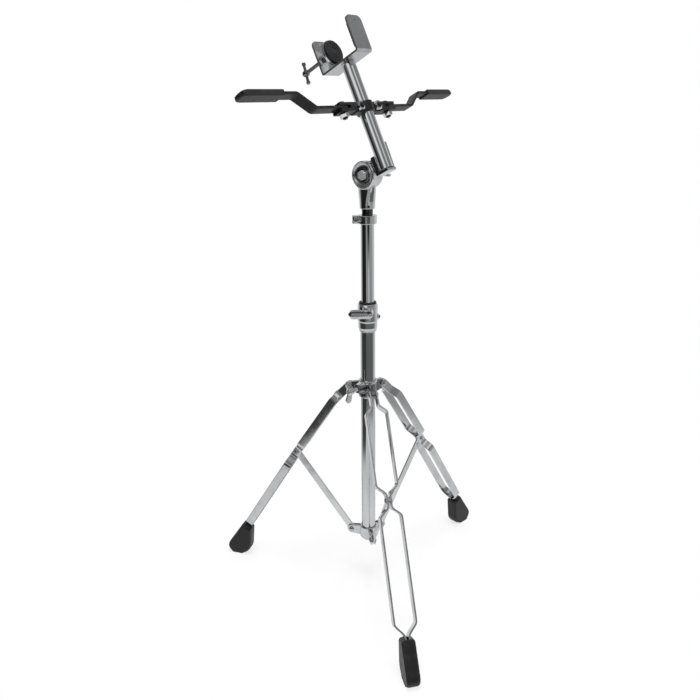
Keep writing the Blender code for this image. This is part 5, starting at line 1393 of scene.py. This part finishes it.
    def build_boot(self, number: int, plane: Matrix) -> None:
        """Moulded boot with a soft outline, a socket for the strips and a tread."""
        foot, joint = Vector(self.foot), Vector(self.joint)
        down = (foot - joint).normalized()
        corners = [(foot.x + (z - foot.y) * down.x / down.y + past, z, radius)
                   for past, z, radius in self.foot_corners]
        outline = rounded(corners, 0, 12, 1.0)
        middle_point = sum((Vector(p) for p in outline), Vector((0, 0))) / len(outline)
        half, edge, steps = self.foot_thickness / 2, self.foot_edge, 8
        levels = [(-half + edge * (1 - math.sin(math.radians(90 * k / steps))),
                   edge * (1 - math.cos(math.radians(90 * k / steps)))) for k in range(steps, -1, -1)]
        rings = []
        for level, inset in levels + [(-level, inset) for level, inset in reversed(levels)]:
            ring = []
            for x, z in outline:
                pull = (middle_point - Vector((x, z))).normalized() * inset
                ring.append((x + pull.x, level, z + (pull.y if z > 1.5 else 0.0)))
            rings.append(ring)
        boot = lofted(rings).cast(0.6, 4)
        lean = Matrix.Rotation(-math.atan2(down.y, down.x), 4, "Y")
        side = self.at_joint + self.strip_thickness / 2 + BORE_GAP
        wide = self.strip_width / 2 + BORE_GAP
        socket = block((-20, -side, -wide), (self.in_foot + GAP, side, wide)).bevelled(0.8)
        boot -= socket.moved(Matrix.Translation((foot.x, 0, foot.y)) @ lean)
        low_x = min(x for x, z in outline if z < 0.01)
        high_x = max(x for x, z in outline if z < 0.01)
        pitch = (high_x - low_x) / self.treads
        groove = block((-0.8, -half - 2, -1), (0.8, half + 2, 1.1)).bevelled(0.3)
        spots = [((low_x + pitch * (i + 0.5), 0, 0), (0, 0, 1)) for i in range(self.treads)]
        boot -= scattered(groove, spots, BOOT_RUBBER)
        fit(f"leg_{number}_foot", boot, plane, BOOT_RUBBER)


@dataclass(frozen=True)
class Tilter:
    """The stem, the lower casting with its dished eye, and the pivot's fasteners."""

    pivot_height: float = 752.5
    stem_wall: float = 2.0
    neck_radius: float = 12.6
    shoulder: float = 734.7
    shoulder_half: float = 16.5
    shoulder_near: float = -12.0
    shoulder_far: float = 10.5
    eye_radius: float = 22.0
    eye_near: float = -12.8
    eye_rim: float = 2.0
    bowl: tuple[float, float] = (11.6, 19.8)
    recess_depth: float = 4.2
    bolt_radius: float = 4.0
    washer_radius: float = 10.5
    washer: float = 1.6
    head_flat: float = 13.0
    head: float = 5.3
    nut: tuple[float, float] = (14.9, 26.9)
    nut_radius: float = 7.6
    nut_span: float = 53.0
    nut_tilt: float = 4.0
    wing_thickness: float = 3.6

    @property
    def pivot(self) -> Matrix:
        """Frame on the pivot's axis; its Y runs away from the camera."""
        return COLUMN @ Matrix.Translation((0, 0, self.pivot_height))

    def build(self) -> None:
        """Make the stem, the casting and the fasteners."""
        fit("stem_tube", pipe(STEM, self.stem_wall, *span("stem_tube", 2)), COLUMN, DARK_STEEL)
        self.build_casting()
        self.build_bolt()
        self.build_wing_nut()

    def build_casting(self) -> None:
        """Casting that plugs on the stem and ends in the eye."""
        bottom = span("tilter_base", 2)[0]
        centre = (self.shoulder_near + self.shoulder_far) / 2
        depth = (self.shoulder_far - self.shoulder_near) / 2
        rings = []
        for share, height, inset in ((0.0, bottom, 0.8), (0.0, bottom + 0.8, 0.0),
                                     (0.02, bottom + 6, 0.0), (0.15, bottom + 12, 0.0),
                                     (0.42, bottom + 19, 0.0), (0.75, bottom + 27, 0.0),
                                     (1.0, self.shoulder, 0.0), (1.0, self.pivot_height - 4, 0.0)):
            wide = self.neck_radius + share * (self.shoulder_half - self.neck_radius) - inset
            deep = self.neck_radius + share * (depth - self.neck_radius) - inset
            rings.append([(wide * x, share * centre + deep * y, height)
                          for x, y in arc((0, 0), 1, 0, 360 * (1 - 1 / SIDES), SIDES - 1)])
        casting = lofted(rings)
        height = Matrix.Translation((0, 0, self.pivot_height))
        near, rim, floor = self.eye_near, self.eye_rim, self.eye_near + self.recess_depth
        inner, outer = self.bowl
        clear = (self.eye_radius + inner) / 2
        casting -= rod(clear, -40, 40, 0, SIDES).moved(height @ Along.Y.value)
        bowl = [(inner + (outer - inner) * x, floor - (floor - near) * (1 - z))
                for x, z in arc((0, 0), 1, 0, 90, 10)]
        eye = turned([(0, 0.5), (self.eye_radius, 0.5), (self.eye_radius, near + rim, 1.4),
                      (self.eye_radius - 1, near, 0.8), *bowl, (0, floor)], 0.0)
        casting = (casting + eye.moved(height @ Along.Y.value)).cast(0.5, 10)
        relief = rod(self.eye_radius + 1, -GAP, 40, 0, SIDES)
        casting -= relief.moved(height @ Along.Y.value)
        bore = rod(self.bolt_radius + BORE_GAP, -20, 20)
        casting -= bore.moved(height @ Along.Y.value)
        casting -= rod(STEM + BORE_GAP, bottom - 10, bottom + 28.8, 0, SIDES)
        # The eye's recess is painted darker as shade by its finish.
        face = self.pivot @ Vector((0, near, 0)) * MM
        fit("tilter_base", casting, COLUMN,
            Dished("eye_chrome", grain=260.0, relief=0.035, centre=tuple(face), radius=outer * MM))

    def build_bolt(self) -> None:
        """Hexagon bolt through the pivot, threaded at its far end, and its washer."""
        floor = self.eye_near + self.recess_depth - GAP
        washer = turned([(self.bolt_radius + BORE_GAP, floor - self.washer),
                         (self.washer_radius, floor - self.washer), (self.washer_radius, floor),
                         (self.bolt_radius + BORE_GAP, floor)], 0.35)
        fit("tilter_washer", washer.moved(Along.Y.value), self.pivot, HANDLE_STEEL)
        seat = floor - self.washer - GAP
        end = self.nut[1] + 3
        bolt = hexagon_rod(self.head_flat, seat - self.head, seat, chamfered=(True, False))
        bolt += rod(self.bolt_radius, seat - 1, self.nut[0] + 1, 0)
        bolt += thread(self.bolt_radius, self.nut[0] - 2, end, M8_PITCH, CAST_CHROME)
        fit("tilter_bolt", bolt.moved(Along.Y.value), self.pivot, BRIGHT_ZINC)

    def build_wing_nut(self) -> None:
        """Wing nut on the far side."""
        start, end = self.nut
        radius = self.nut_radius
        nut = turned([(0, start), (radius + 1.2, start), (radius + 1.2, start + 1.5),
                      (radius, start + 2.5), (radius - 1.2, end), (0, end)], 0.8)
        for turn in (0, 180):
            blade = wing(radius - 1, self.nut_span / 2, start + 3, end + 3, self.wing_thickness)
            nut += blade.moved(turn_z(turn))
        nut = nut.cast(0.45) - rod(self.bolt_radius + BORE_GAP, start - 5, end + 10)
        turn = Matrix.Rotation(math.radians(self.nut_tilt), 4, "Y") @ Along.Y.value
        fit("tilter_wing_nut", nut, self.pivot @ turn)


@dataclass(frozen=True)
class Arm:
    """The leaning arm: its bracket and its tube."""

    lean: float = 26.0
    offset: float = 39.0
    wall: float = 1.5
    eye_radius: float = 21.0
    near: float = -9.0
    far: float = 14.4
    cheek_left: float = 22.9
    cheek_top: float = 18.0
    cheek_hug: float = 4.2
    base: tuple[float, float] = (-12.2, -7.2)
    right: float = 47.0
    plate_top: float = 36.0
    tube: tuple[float, float] = (-6.9, 163.0)

    @property
    def frame(self) -> Matrix:
        """Frame of the arm: X across, Y away from the camera, Z along the tube."""
        return Tilter().pivot @ Matrix.Rotation(math.radians(-self.lean), 4, "Y")

    @property
    def axis(self) -> Matrix:
        """Frame on the tube's centre line."""
        return self.frame @ Matrix.Translation((self.offset, 0, 0))

    def build(self) -> None:
        """Make the bracket and the tube."""
        fit("arm_tube", pipe(ARM_TUBE, self.wall, *self.tube), self.axis, ARM_TUBE_CHROME)
        tube_left = self.offset - ARM_TUBE - GAP
        plate_near = ARM_TUBE + GAP
        eye = turned([(0, GAP), (self.eye_radius, GAP), (self.eye_radius, self.far), (0, self.far)],
                     1.4)
        bracket = eye.moved(Along.Y.value)
        bracket += block((12, 2 * GAP, self.base[0] + 3),
                         (tube_left - 2, self.far - 0.5, self.cheek_top - 0.5))
        hug = tube_left + self.cheek_hug
        saddle = rounded([(self.cheek_left, self.base[0]), (self.right, self.base[0]),
                          (self.right, self.base[1]), (hug, self.base[1]),
                          (hug, self.cheek_top), (self.cheek_left, self.cheek_top)], 0.8)
        bracket += prism(saddle, 1 - self.far, -self.near).moved(Along.UPRIGHT.value)
        plate = rounded([(tube_left - 2, self.base[0] + 1), (self.right - 2, self.base[0] + 1),
                         (self.right - 1, self.plate_top - 3, 5), (self.right - 5, self.plate_top, 5),
                         (tube_left + 4, self.cheek_top + 6, 6), (tube_left - 2, self.cheek_top - 1)],
                        0.5)
        bracket += prism(plate, -self.far, -plate_near).moved(Along.UPRIGHT.value)
        bracket = bracket.cast(0.5, 4)
        room = rod(ARM_TUBE + GAP, self.base[1], 60, 0, SIDES)
        bracket -= room.moved(Matrix.Translation((self.offset, 0, 0)))
        bracket -= rod(Tilter().bolt_radius + BORE_GAP, -20, 40).moved(Along.Y.value)
        fit("arm_bracket", bracket, self.frame)


@dataclass(frozen=True)
class DrumClamp:
    """U-bracket on the arm's end with the T-handled screw and its disc."""

    plate: float = 3.0
    bend: float = 4.0
    corner: float = 9.0
    left: float = -2.1
    right: float = 76.7
    underside: float = 163.3
    top: float = 219.4
    half_width: float = 17.6
    hole_radius: float = 2.2
    hole_drop: float = 6.0
    screw_height: float = 191.5
    screw_radius: float = 3.0
    screw_pitch: float = 1.0
    hub_at: float = -46.0
    hub_radius: float = 5.2
    hub_half: float = 5.6
    handle_length: float = 36.0
    handle_radius: float = 2.4
    handle_turn: float = -9.0
    nut_flat: float = 13.0
    nut_length: float = 8.0
    disc_radius: float = 18.6
    disc_face: float = 22.9
    rubber: float = 6.4
    cup_plate: float = 2.0
    cup_rim: float = 1.1
    cup_rim_depth: float = 2.6
    cup_hub_radius: float = 6.6
    cup_hub: float = 4.0
    jaw: float = 3.0
    jaw_half: float = 15.0
    jaw_heights: tuple[float, float] = (172.0, 208.0)
    jaw_ribs: int = 8

    @property
    def place(self) -> Matrix:
        """Frame of the arm."""
        return Arm().frame

    @property
    def axis(self) -> Matrix:
        """Frame whose Z runs along the screw, towards the disc."""
        return self.place @ Matrix.Translation((0, 0, self.screw_height)) @ Along.X.value

    def build(self) -> None:
        """Make the bracket, the screw, the disc and the jaw pad."""
        self.build_bracket()
        self.build_screw()
        self.build_disc()
        self.build_jaw_pad()

    def build_bracket(self) -> None:
        """Bent plate with rounded flange corners, and the nut on one flange."""
        inner = self.bend - self.plate
        left = (self.left + self.bend, self.underside + self.bend)
        right = (self.right - self.bend, self.underside + self.bend)
        outline = [(self.left, self.top)]
        outline += arc(left, self.bend, 180, 270, 10) + arc(right, self.bend, 270, 360, 10)
        outline += [(self.right, self.top), (self.right - self.plate, self.top)]
        outline += arc(right, inner, 360, 270, 10) + arc(left, inner, 270, 180, 10)
        outline += [(self.left + self.plate, self.top)]
        plate = prism(outline, -self.half_width, self.half_width).moved(Along.UPRIGHT.value)
        half, corner = self.half_width, self.corner
        face = [(-half - 1, self.underside - 1), (half + 1, self.underside - 1),
                (half + 1, self.top - corner)]
        face += arc((half - corner, self.top - corner), corner, 0, 90, 16)
        face += arc((corner - half, self.top - corner), corner, 90, 180, 16)
        face += [(-half - 1, self.top - corner)]
        envelope = prism(face, self.left - 5, self.right + 5).moved(Along.FACING_X.value)
        plate = plate.combined(envelope, "INTERSECT")
        at_screw = Matrix.Translation((0, 0, self.screw_height)) @ Along.X.value
        at_holes = Matrix.Translation((0, 0, self.top - self.hole_drop)) @ Along.X.value
        plate -= rod(self.screw_radius + BORE_GAP, self.left - 5, self.left + 10).moved(at_screw)
        plate -= rod(self.hole_radius, self.left - 5, self.right + 5).moved(at_holes)
        fit("u_bracket", plate.bevelled(1.1), self.place, PLATE_CHROME)
        start = self.left + self.plate + GAP
        end = self.left + self.plate + self.nut_length
        nut = hexagon_rod(self.nut_flat, start, end, self.screw_radius + BORE_GAP)
        fit("weld_nut", nut, self.axis)

    def build_screw(self) -> None:
        """Threaded screw with a cross hub, and the sliding bar in it."""
        tip = self.disc_face - self.rubber - 2 * GAP - self.cup_plate
        low, high = self.hub_at - self.hub_half, self.hub_at + self.hub_half
        hub = turned([(0, low), (0.62 * self.hub_radius, low, 0.8),
                      (self.hub_radius, self.hub_at - 0.5 * self.hub_half, 1.5),
                      (self.hub_radius, self.hub_at + 0.6 * self.hub_half, 1.0),
                      (self.screw_radius, high), (self.screw_radius, high + 3), (0, high + 3)],
                     0.3, BOLT_SIDES)
        turn = Matrix.Rotation(math.radians(self.handle_turn), 4, "X")
        across = Matrix.Translation((self.hub_at, 0, self.screw_height)) @ turn
        screw = hub + thread(self.screw_radius, high + 1, tip, self.screw_pitch, DARK_STEEL)
        screw.moved(Matrix.Translation((0, 0, self.screw_height)) @ Along.X.value)
        screw -= rod(self.handle_radius + BORE_GAP, -20, 20).moved(across)
        fit("clamp_screw", screw, self.place, HANDLE_STEEL)
        half, bead = self.handle_length / 2, self.handle_radius + 1.0
        bar = turned([(0, -half), (bead, -half, 1.6), (bead, 4.0 - half, 1.2),
                      (self.handle_radius, 5.0 - half, 1.0), (self.handle_radius, half - 5.0, 1.0),
                      (bead, half - 4.0, 1.2), (bead, half, 1.6), (0, half)], 0.5, BOLT_SIDES)
        fit("t_handle", bar, self.place @ across, HANDLE_STEEL)

    def build_disc(self) -> None:
        """Chrome cup on the screw's end, and the grooved rubber disc in it."""
        back = self.disc_face - self.rubber - GAP
        front = back - self.cup_plate
        rim = self.disc_radius + BORE_GAP + self.cup_rim
        bore = self.screw_radius + BORE_GAP
        cup = turned([(bore, front - self.cup_hub), (self.cup_hub_radius, front - self.cup_hub, 0.8),
                      (self.cup_hub_radius, front, 1.0), (rim, front, 1.0),
                      (rim, back + self.cup_rim_depth), (rim - self.cup_rim, back + self.cup_rim_depth),
                      (rim - self.cup_rim, back), (0, back), (0, front), (bore, front)], 0.3)
        fit("pressure_cup", cup, self.axis, SATIN_CHROME)
        face = self.disc_face
        profile = [(0, back + GAP), (self.disc_radius, back + GAP), (self.disc_radius, face, 1.3)]
        for radius in (14.5, 10.5, 6.5):
            profile += [(radius + 0.7, face), (radius + 0.3, face - 0.7), (radius - 0.3, face - 0.7),
                        (radius - 0.7, face)]
        profile += [(0, face)]
        fit("pressure_pad", turned(profile, 0.2), self.axis)

    def build_jaw_pad(self) -> None:
        """Ribbed rubber pad inside the far flange."""
        high = self.right - self.plate - GAP
        low = high - self.jaw
        bottom, top = self.jaw_heights
        pad = block((low, -self.jaw_half, bottom), (high, self.jaw_half, top)).bevelled(0.9)
        pitch = (top - bottom) / self.jaw_ribs
        groove = block((-1, -self.jaw_half - 2, -0.6), (0.8, self.jaw_half + 2, 0.6)).bevelled(0.3)
        spots = [((low, 0, bottom + pitch * (i + 0.5)), (0, 0, 1)) for i in range(self.jaw_ribs)]
        fit("jaw_pad", pad - scattered(groove, spots, RUBBER), self.place)


@dataclass(frozen=True)
class SupportArms:
    """Split clamp on the arm tube, and the padded arms in its forks."""

    height: float = 90.6
    ring_half: float = 8.0
    wall: float = 3.0
    split: float = 0.7
    ear: float = 6.5
    ear_end: float = 29.5
    bolt_at: float = 21.0
    pivot_at: float = 52.7
    block_end: float = 66.0
    block_half: float = 9.6
    block_rise: float = 6.8
    bar_half: float = 9.0
    bar_thickness: float = 4.4
    rise_start: float = 115.2
    rise_end: float = 144.4
    rise: float = 21.7
    pad_start: float = 171.4
    pad_end: float = 248.0
    pad_half: float = 11.0
    pad_thickness: float = 9.0
    pad_wall: float = 1.9
    bolt_head_radius: float = 7.0
    bolt_head: float = 4.0

    @property
    def place(self) -> Matrix:
        """Frame of the clamp, on the tube's centre line."""
        return Arm().axis @ Matrix.Translation((0, 0, self.height))

    def build(self) -> None:
        """Make the clamp, then both arms."""
        self.build_clamp_half("arm_clamp_back", -1)
        self.build_clamp_half("arm_clamp_front", 1)
        for hand in Hand:
            self.build_clamp_bolt(hand)
            self.build_pivot_bolt(hand)
            self.build_bar(hand)
            self.build_pad(hand)

    def build_clamp_half(self, node: str, facing: int) -> None:
        """Half a ring with two ears; the back half also carries the forks.

        Args:
            node: Node that it stands for.
            facing: 1 for the half on the tube's +X side, -1 for the other.
        """
        inner, split, half = ARM_TUBE + BORE_GAP, self.split / 2, self.ring_half
        rise, wide = self.block_rise, self.block_half
        casting = rod(inner + self.wall, -half, half, 0.8, SIDES)
        casting -= block((0, -40, -40), (-facing * 40, 40, 40))
        for side in (-1, 1):
            casting += block((0, side * (inner - 2), -half),
                             (facing * (split + self.ear), side * self.ear_end, half))
            if facing < 0:
                casting += block((-wide, side * (self.ear_end - 1), -rise),
                                 (wide, side * self.block_end, rise))
        casting = casting.cast(0.5, 3)
        casting -= rod(inner, -40, 40, 0, SIDES)
        casting -= block((facing * split, -self.ear_end - 0.3, -40),
                         (-facing * 40, self.ear_end + 0.3, 40))
        slot = self.bar_thickness / 2 + GAP
        floor = self.pivot_at - self.bar_half - 2
        for side in (-1, 1):
            at_bolt = Matrix.Translation((0, side * self.bolt_at, 0)) @ Along.X.value
            casting -= rod(M8 + BORE_GAP, -40, 40).moved(at_bolt)
            if facing < 0:
                casting -= block((-40, side * floor, -slot), (40, side * 90, slot))
                at_pivot = Matrix.Translation((0, side * self.pivot_at, 0))
                casting -= rod(M8 + BORE_GAP, -40, 40).moved(at_pivot)
        fit(node, casting, self.place)

    def domed_bolt(self, length: float, seat: float) -> Shape:
        """Bolt with a domed socket head above z = seat, threaded below."""
        dome = [(self.bolt_head_radius * x, seat + self.bolt_head * z)
                for x, z in arc((0, 0), 1, 8, 90, 10)]
        bolt = turned([(0, seat), (self.bolt_head_radius - 0.3, seat), *dome], 0.0, BOLT_SIDES)
        bolt -= hexagon_rod(4.6, seat + 1.6, seat + 8, chamfered=(False, False))
        bolt += rod(M8, seat - length + 12, seat + 1, 0)
        return bolt + thread(M8, seat - length, seat - length + 13, M8_PITCH, POWDER_COAT)

    def build_clamp_bolt(self, hand: Hand) -> None:
        """Bolt and nut that draw the clamp's halves together."""
        face = self.split / 2 + self.ear + GAP
        line = Matrix.Translation((0, hand.value * self.bolt_at, 0)) @ Along.X.value
        length = 2 * face + M8_NUT + 2.5
        word = hand.name.lower()
        backwards = Matrix.Rotation(math.pi, 4, "X")
        fit("clamp_bolt_" + word, self.domed_bolt(length, face), self.place @ line @ backwards)
        nut = hexagon_rod(M8_FLAT, face, face + M8_NUT, M8 + BORE_GAP)
        fit("clamp_nut_" + word, nut, self.place @ line)

    def build_pivot_bolt(self, hand: Hand) -> None:
        """Upright bolt and nut that hold an arm in its fork."""
        seat = self.block_rise + GAP
        place = self.place @ Matrix.Translation((0, hand.value * self.pivot_at, 0))
        word = hand.name.lower()
        fit("arm_bolt_" + word, self.domed_bolt(2 * seat + M8_NUT + 2, seat), place)
        nut = hexagon_rod(M8_FLAT, -seat - M8_NUT, -seat, M8 + BORE_GAP)
        fit("arm_nut_" + word, nut, place)

    def build_bar(self, hand: Hand) -> None:
        """Flat bar with a step up, round at the pivot."""
        side = hand.value
        start = self.pivot_at
        plane = Matrix(((0, 0, 1, 0), (side, 0, 0, 0), (0, 1, 0, 0), (0, 0, 0, 1)))
        route = Route([(-self.bar_half, 0.0), (self.rise_start - start, 0.0, 9.0),
                       (self.rise_end - start, self.rise, 9.0),
                       (self.pad_end - self.pad_wall - start, self.rise)], plane, 10)
        points = [route.at(s)[0] for s in end_stations(route.marks[-1], self.bar_half, 2.5)]
        bar = flat_bar(points, [Vector((1, 0, 0))] * len(points), 2 * self.bar_half,
                       self.bar_thickness, 0.8, self.bar_half - 0.1, POWDER_COAT)
        bar -= rod(M8 + BORE_GAP, -20, 20)
        fit("support_arm_" + hand.name.lower(), bar,
            self.place @ Matrix.Translation((0, side * start, 0)))

    def build_pad(self, hand: Hand) -> None:
        """Rubber sleeve with a rounded, slanted end."""
        side = hand.value
        low = self.rise - self.pad_thickness / 2
        high = self.rise + self.pad_thickness / 2
        near, far = self.pad_start - self.pivot_at, self.pad_end - self.pivot_at
        corner = 8.0
        rings = []
        for level, reach, inset in ((low, far - 2.4, 1.0), (low + 1.2, far, 0),
                                    (high - 3.6, far, 0), (high - 1.0, far - 3.6, 0),
                                    (high, far - 5.0, 1.0)):
            half = self.pad_half - inset
            outline = [(-half, near + inset), (half, near + inset)]
            outline += arc((half - corner, reach - corner), corner, 0, 90, 14)
            outline += arc((corner - half, reach - corner), corner, 90, 180, 14)
            rings.append([(x, side * y, level) for x, y in outline])
        pad = lofted(rings).cast(0.5, 4)
        half = self.bar_half + BORE_GAP
        thick = self.bar_thickness / 2 + BORE_GAP
        pad -= block((-half, side * (near - 10), self.rise - thick),
                     (half, side * (far - self.pad_wall + BORE_GAP), self.rise + thick))
        fit("arm_pad_" + hand.name.lower(), pad,
            self.place @ Matrix.Translation((0, side * self.pivot_at, 0)))


# Studio

@dataclass(frozen=True)
class Floor(Finish):
    """Plain pale floor, a thin veil that fades out into the white around it."""

    veil: float = 0.22
    solid_to: float = 0.27
    clear_from: float = 0.42

    def dress(self, graph: Graph, shader: bpy.types.Node) -> None:
        """Join a faint mottle and the fade to the shader."""
        place = self.place(graph)
        wear = self.noise(graph, place, self.patch, 3.0)
        self.link(graph, shader, wear, self.noise(graph, place, self.grain, 2.0))
        distance = graph.vectors("LENGTH", place, output="Value")
        alpha = (1 - distance.between(self.solid_to, self.clear_from)) * self.veil
        graph.tree.links.new(alpha.output, shader.inputs["Alpha"])


@dataclass(frozen=True)
class SoftBox:
    """A square area light that faces the stand; the chrome mirrors only the room."""

    name: str
    place: tuple[float, float, float]
    size: float
    power: float
    aim: tuple[float, float, float] = (0.0, 0.0, 0.45)

    def build(self) -> None:
        """Hang the light."""
        light = bpy.data.lights.new(self.name, "AREA")
        light.size = self.size
        light.energy = self.power
        holder = bpy.data.objects.new(self.name, light)
        holder.location = self.place
        turn = (Vector(self.aim) - Vector(self.place)).to_track_quat("-Z", "Y")
        holder.rotation_euler = turn.to_euler()
        holder.visible_glossy = False
        bpy.context.scene.collection.objects.link(holder)


@dataclass(frozen=True)
class Studio:
    """White surroundings with dark flags for the chrome, a pale floor and the camera."""

    camera_from_column: tuple[float, float, float] = (0.7119, -0.8899, 0.8655)
    heading: float = 130.2
    pitch: float = 0.3422
    roll: float = -0.0128
    focal_share: float = 705.4 / 700
    sensor: float = 36.0
    floor_radius: float = 0.5
    rear: float = 0.7
    grey_low: float = 0.125
    grey_high: float = 0.34
    grey_up: float = 0.2
    streak: float = 0.6
    flag_low: float = 0.045
    flag: float = 0.014
    flag_up: float = 0.12
    front: float = 0.015
    below: float = 0.62
    window: float = 0.85
    skylight: float = 0.66
    ceiling: float = 0.42
    boxes: tuple[SoftBox, ...] = (
        SoftBox("overhead", (0.1, -0.2, 2.5), 0.9, 60.0),
        SoftBox("front_right", (2.3, -0.7, 1.6), 0.5, 8.0),
        SoftBox("rear_left", (-1.9, 1.2, 1.5), 0.5, 8.0))

    def build(self) -> None:
        """Light the stand and set the camera."""
        bpy.context.scene.view_settings.view_transform = "Standard"
        self.build_world()
        self.build_floor()
        for box in self.boxes:
            box.build()
        self.build_camera()

    def build_world(self) -> None:
        """White to the camera; to the chrome, a grey room with a window and a dark flag."""
        world = bpy.data.worlds.new("studio")
        bpy.context.scene.world = world
        world.use_nodes = True
        world.node_tree.nodes.clear()
        graph = Graph(world.node_tree)
        direction = graph.get("ShaderNodeTexCoord", "Generated")
        to_camera = Vector((*self.camera_from_column[:2], 0)).normalized()
        to_left = Vector((0, 0, 1)).cross(to_camera) * -1
        front = graph.vectors("DOT_PRODUCT", direction, to_camera, output="Value")
        left = graph.vectors("DOT_PRODUCT", direction, to_left, output="Value")
        height = graph.get("ShaderNodeSeparateXYZ", "Z", None, {"Vector": direction})
        turn = graph.maths("ARCTAN2", left, front) * (180 / math.pi)
        grey = height.between(-0.31, -0.26) * (self.grey_high - self.grey_low) + self.grey_low
        value = self.toward(grey, self.grey_up, height.between(0.1, 0.3))
        level = height.between(-0.31, -0.27) * (1 - height.between(-0.23, -0.19))
        value = self.toward(value, self.streak,
                            level * turn.between(-38, -24) * (1 - turn.between(-18, 0)))
        value = self.toward(value, self.rear,
                            (1 - turn.between(-130, -65)) * (1 - height.between(0.3, 0.45) * 0.85))
        level = height.between(-0.24, -0.17) * (1 - height.between(0.06, 0.16))
        narrow = turn.between(-8, 12) * (1 - height.between(-0.155, -0.135))
        value = self.toward(value, self.front, level * turn.between(-42, -26) * (1 - narrow))
        flag = height.between(-0.33, -0.28) * (self.flag - self.flag_low) + self.flag_low
        flag = self.toward(flag, self.flag_up, height.between(-0.1, 0.15))
        value = value + (flag - value) * turn.between(19, 32)
        level = height.between(0.14, 0.34) * (1 - height.between(0.52, 0.62))
        value = self.toward(value, self.window,
                            level * turn.between(-4, 20) * (1 - turn.between(30, 66)))
        level = height.between(0.52, 0.62) * (1 - height.between(0.72, 0.8))
        value = self.toward(value, self.skylight,
                            level * turn.between(-70, -46) * (1 - turn.between(-36, -20)))
        high = height.between(0.05, 0.2) * (1 - turn.between(150, 168))
        value = self.toward(value, self.rear, turn.between(86, 136) * (1 - high))
        edge = turn.between(25, 45) * -0.05 - 0.42
        value = self.toward(value, self.below, 1 - (height - edge).between(-0.02, 0.015))
        value = self.toward(value, self.ceiling,
                            height.between(0.7, 0.85) * (1 - turn.between(60, 100)))
        seen = graph.get("ShaderNodeLightPath", "Is Camera Ray")
        value = self.toward(value, 1.0, seen)
        background = graph.get("ShaderNodeBackground", "Background", None, {"Color": value})
        graph.add("ShaderNodeOutputWorld", {}, {"Surface": background})

    @staticmethod
    def toward(value: Socket, target: float, share: Socket) -> Socket:
        """Move a value towards a target by a share."""
        return value + (target - value) * share

    def build_floor(self) -> None:
        """Pale disc under the stand."""
        bm = bmesh.new()
        bmesh.ops.create_circle(bm, cap_ends=True, segments=SIDES, radius=self.floor_radius)
        mesh = bpy.data.meshes.new("floor")
        bm.to_mesh(mesh)
        bm.free()
        finish = Floor("pale_floor", tone=(0.9, 0.9, 0.9), worn=(0.86, 0.86, 0.86), metallic=0.0,
                       gloss=0.6, matt=0.8, patch=2.0, grain=40.0)
        mesh.materials.append(finish.material())
        floor = bpy.data.objects.new("floor", mesh)
        bpy.context.scene.collection.objects.link(floor)

    def build_camera(self) -> None:
        """Camera at the photograph's place, which looks down at the stand."""
        look = Vector((math.cos(math.radians(self.heading)) * math.cos(self.pitch),
                       math.sin(math.radians(self.heading)) * math.cos(self.pitch),
                       -math.sin(self.pitch)))
        camera = bpy.data.cameras.new("camera")
        camera.sensor_width = self.sensor
        camera.lens = self.focal_share * self.sensor
        holder = bpy.data.objects.new("camera", camera)
        holder.location = COLUMN.translation * MM + Vector(self.camera_from_column)
        turn = look.to_track_quat("-Z", "Y").to_matrix().to_4x4()
        holder.rotation_euler = (turn @ Matrix.Rotation(self.roll, 4, "Z")).to_euler()
        bpy.context.scene.collection.objects.link(holder)
        bpy.context.scene.camera = holder


def main() -> None:
    """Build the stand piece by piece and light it."""
    logging.basicConfig(level=logging.INFO, format="%(message)s")
    for assembly in (Column(), Tripod(), Tilter(), Arm(), DrumClamp(), SupportArms(), Studio()):
        log.info("%s", type(assembly).__name__)
        assembly.build()


if __name__ == "__main__":
    main()
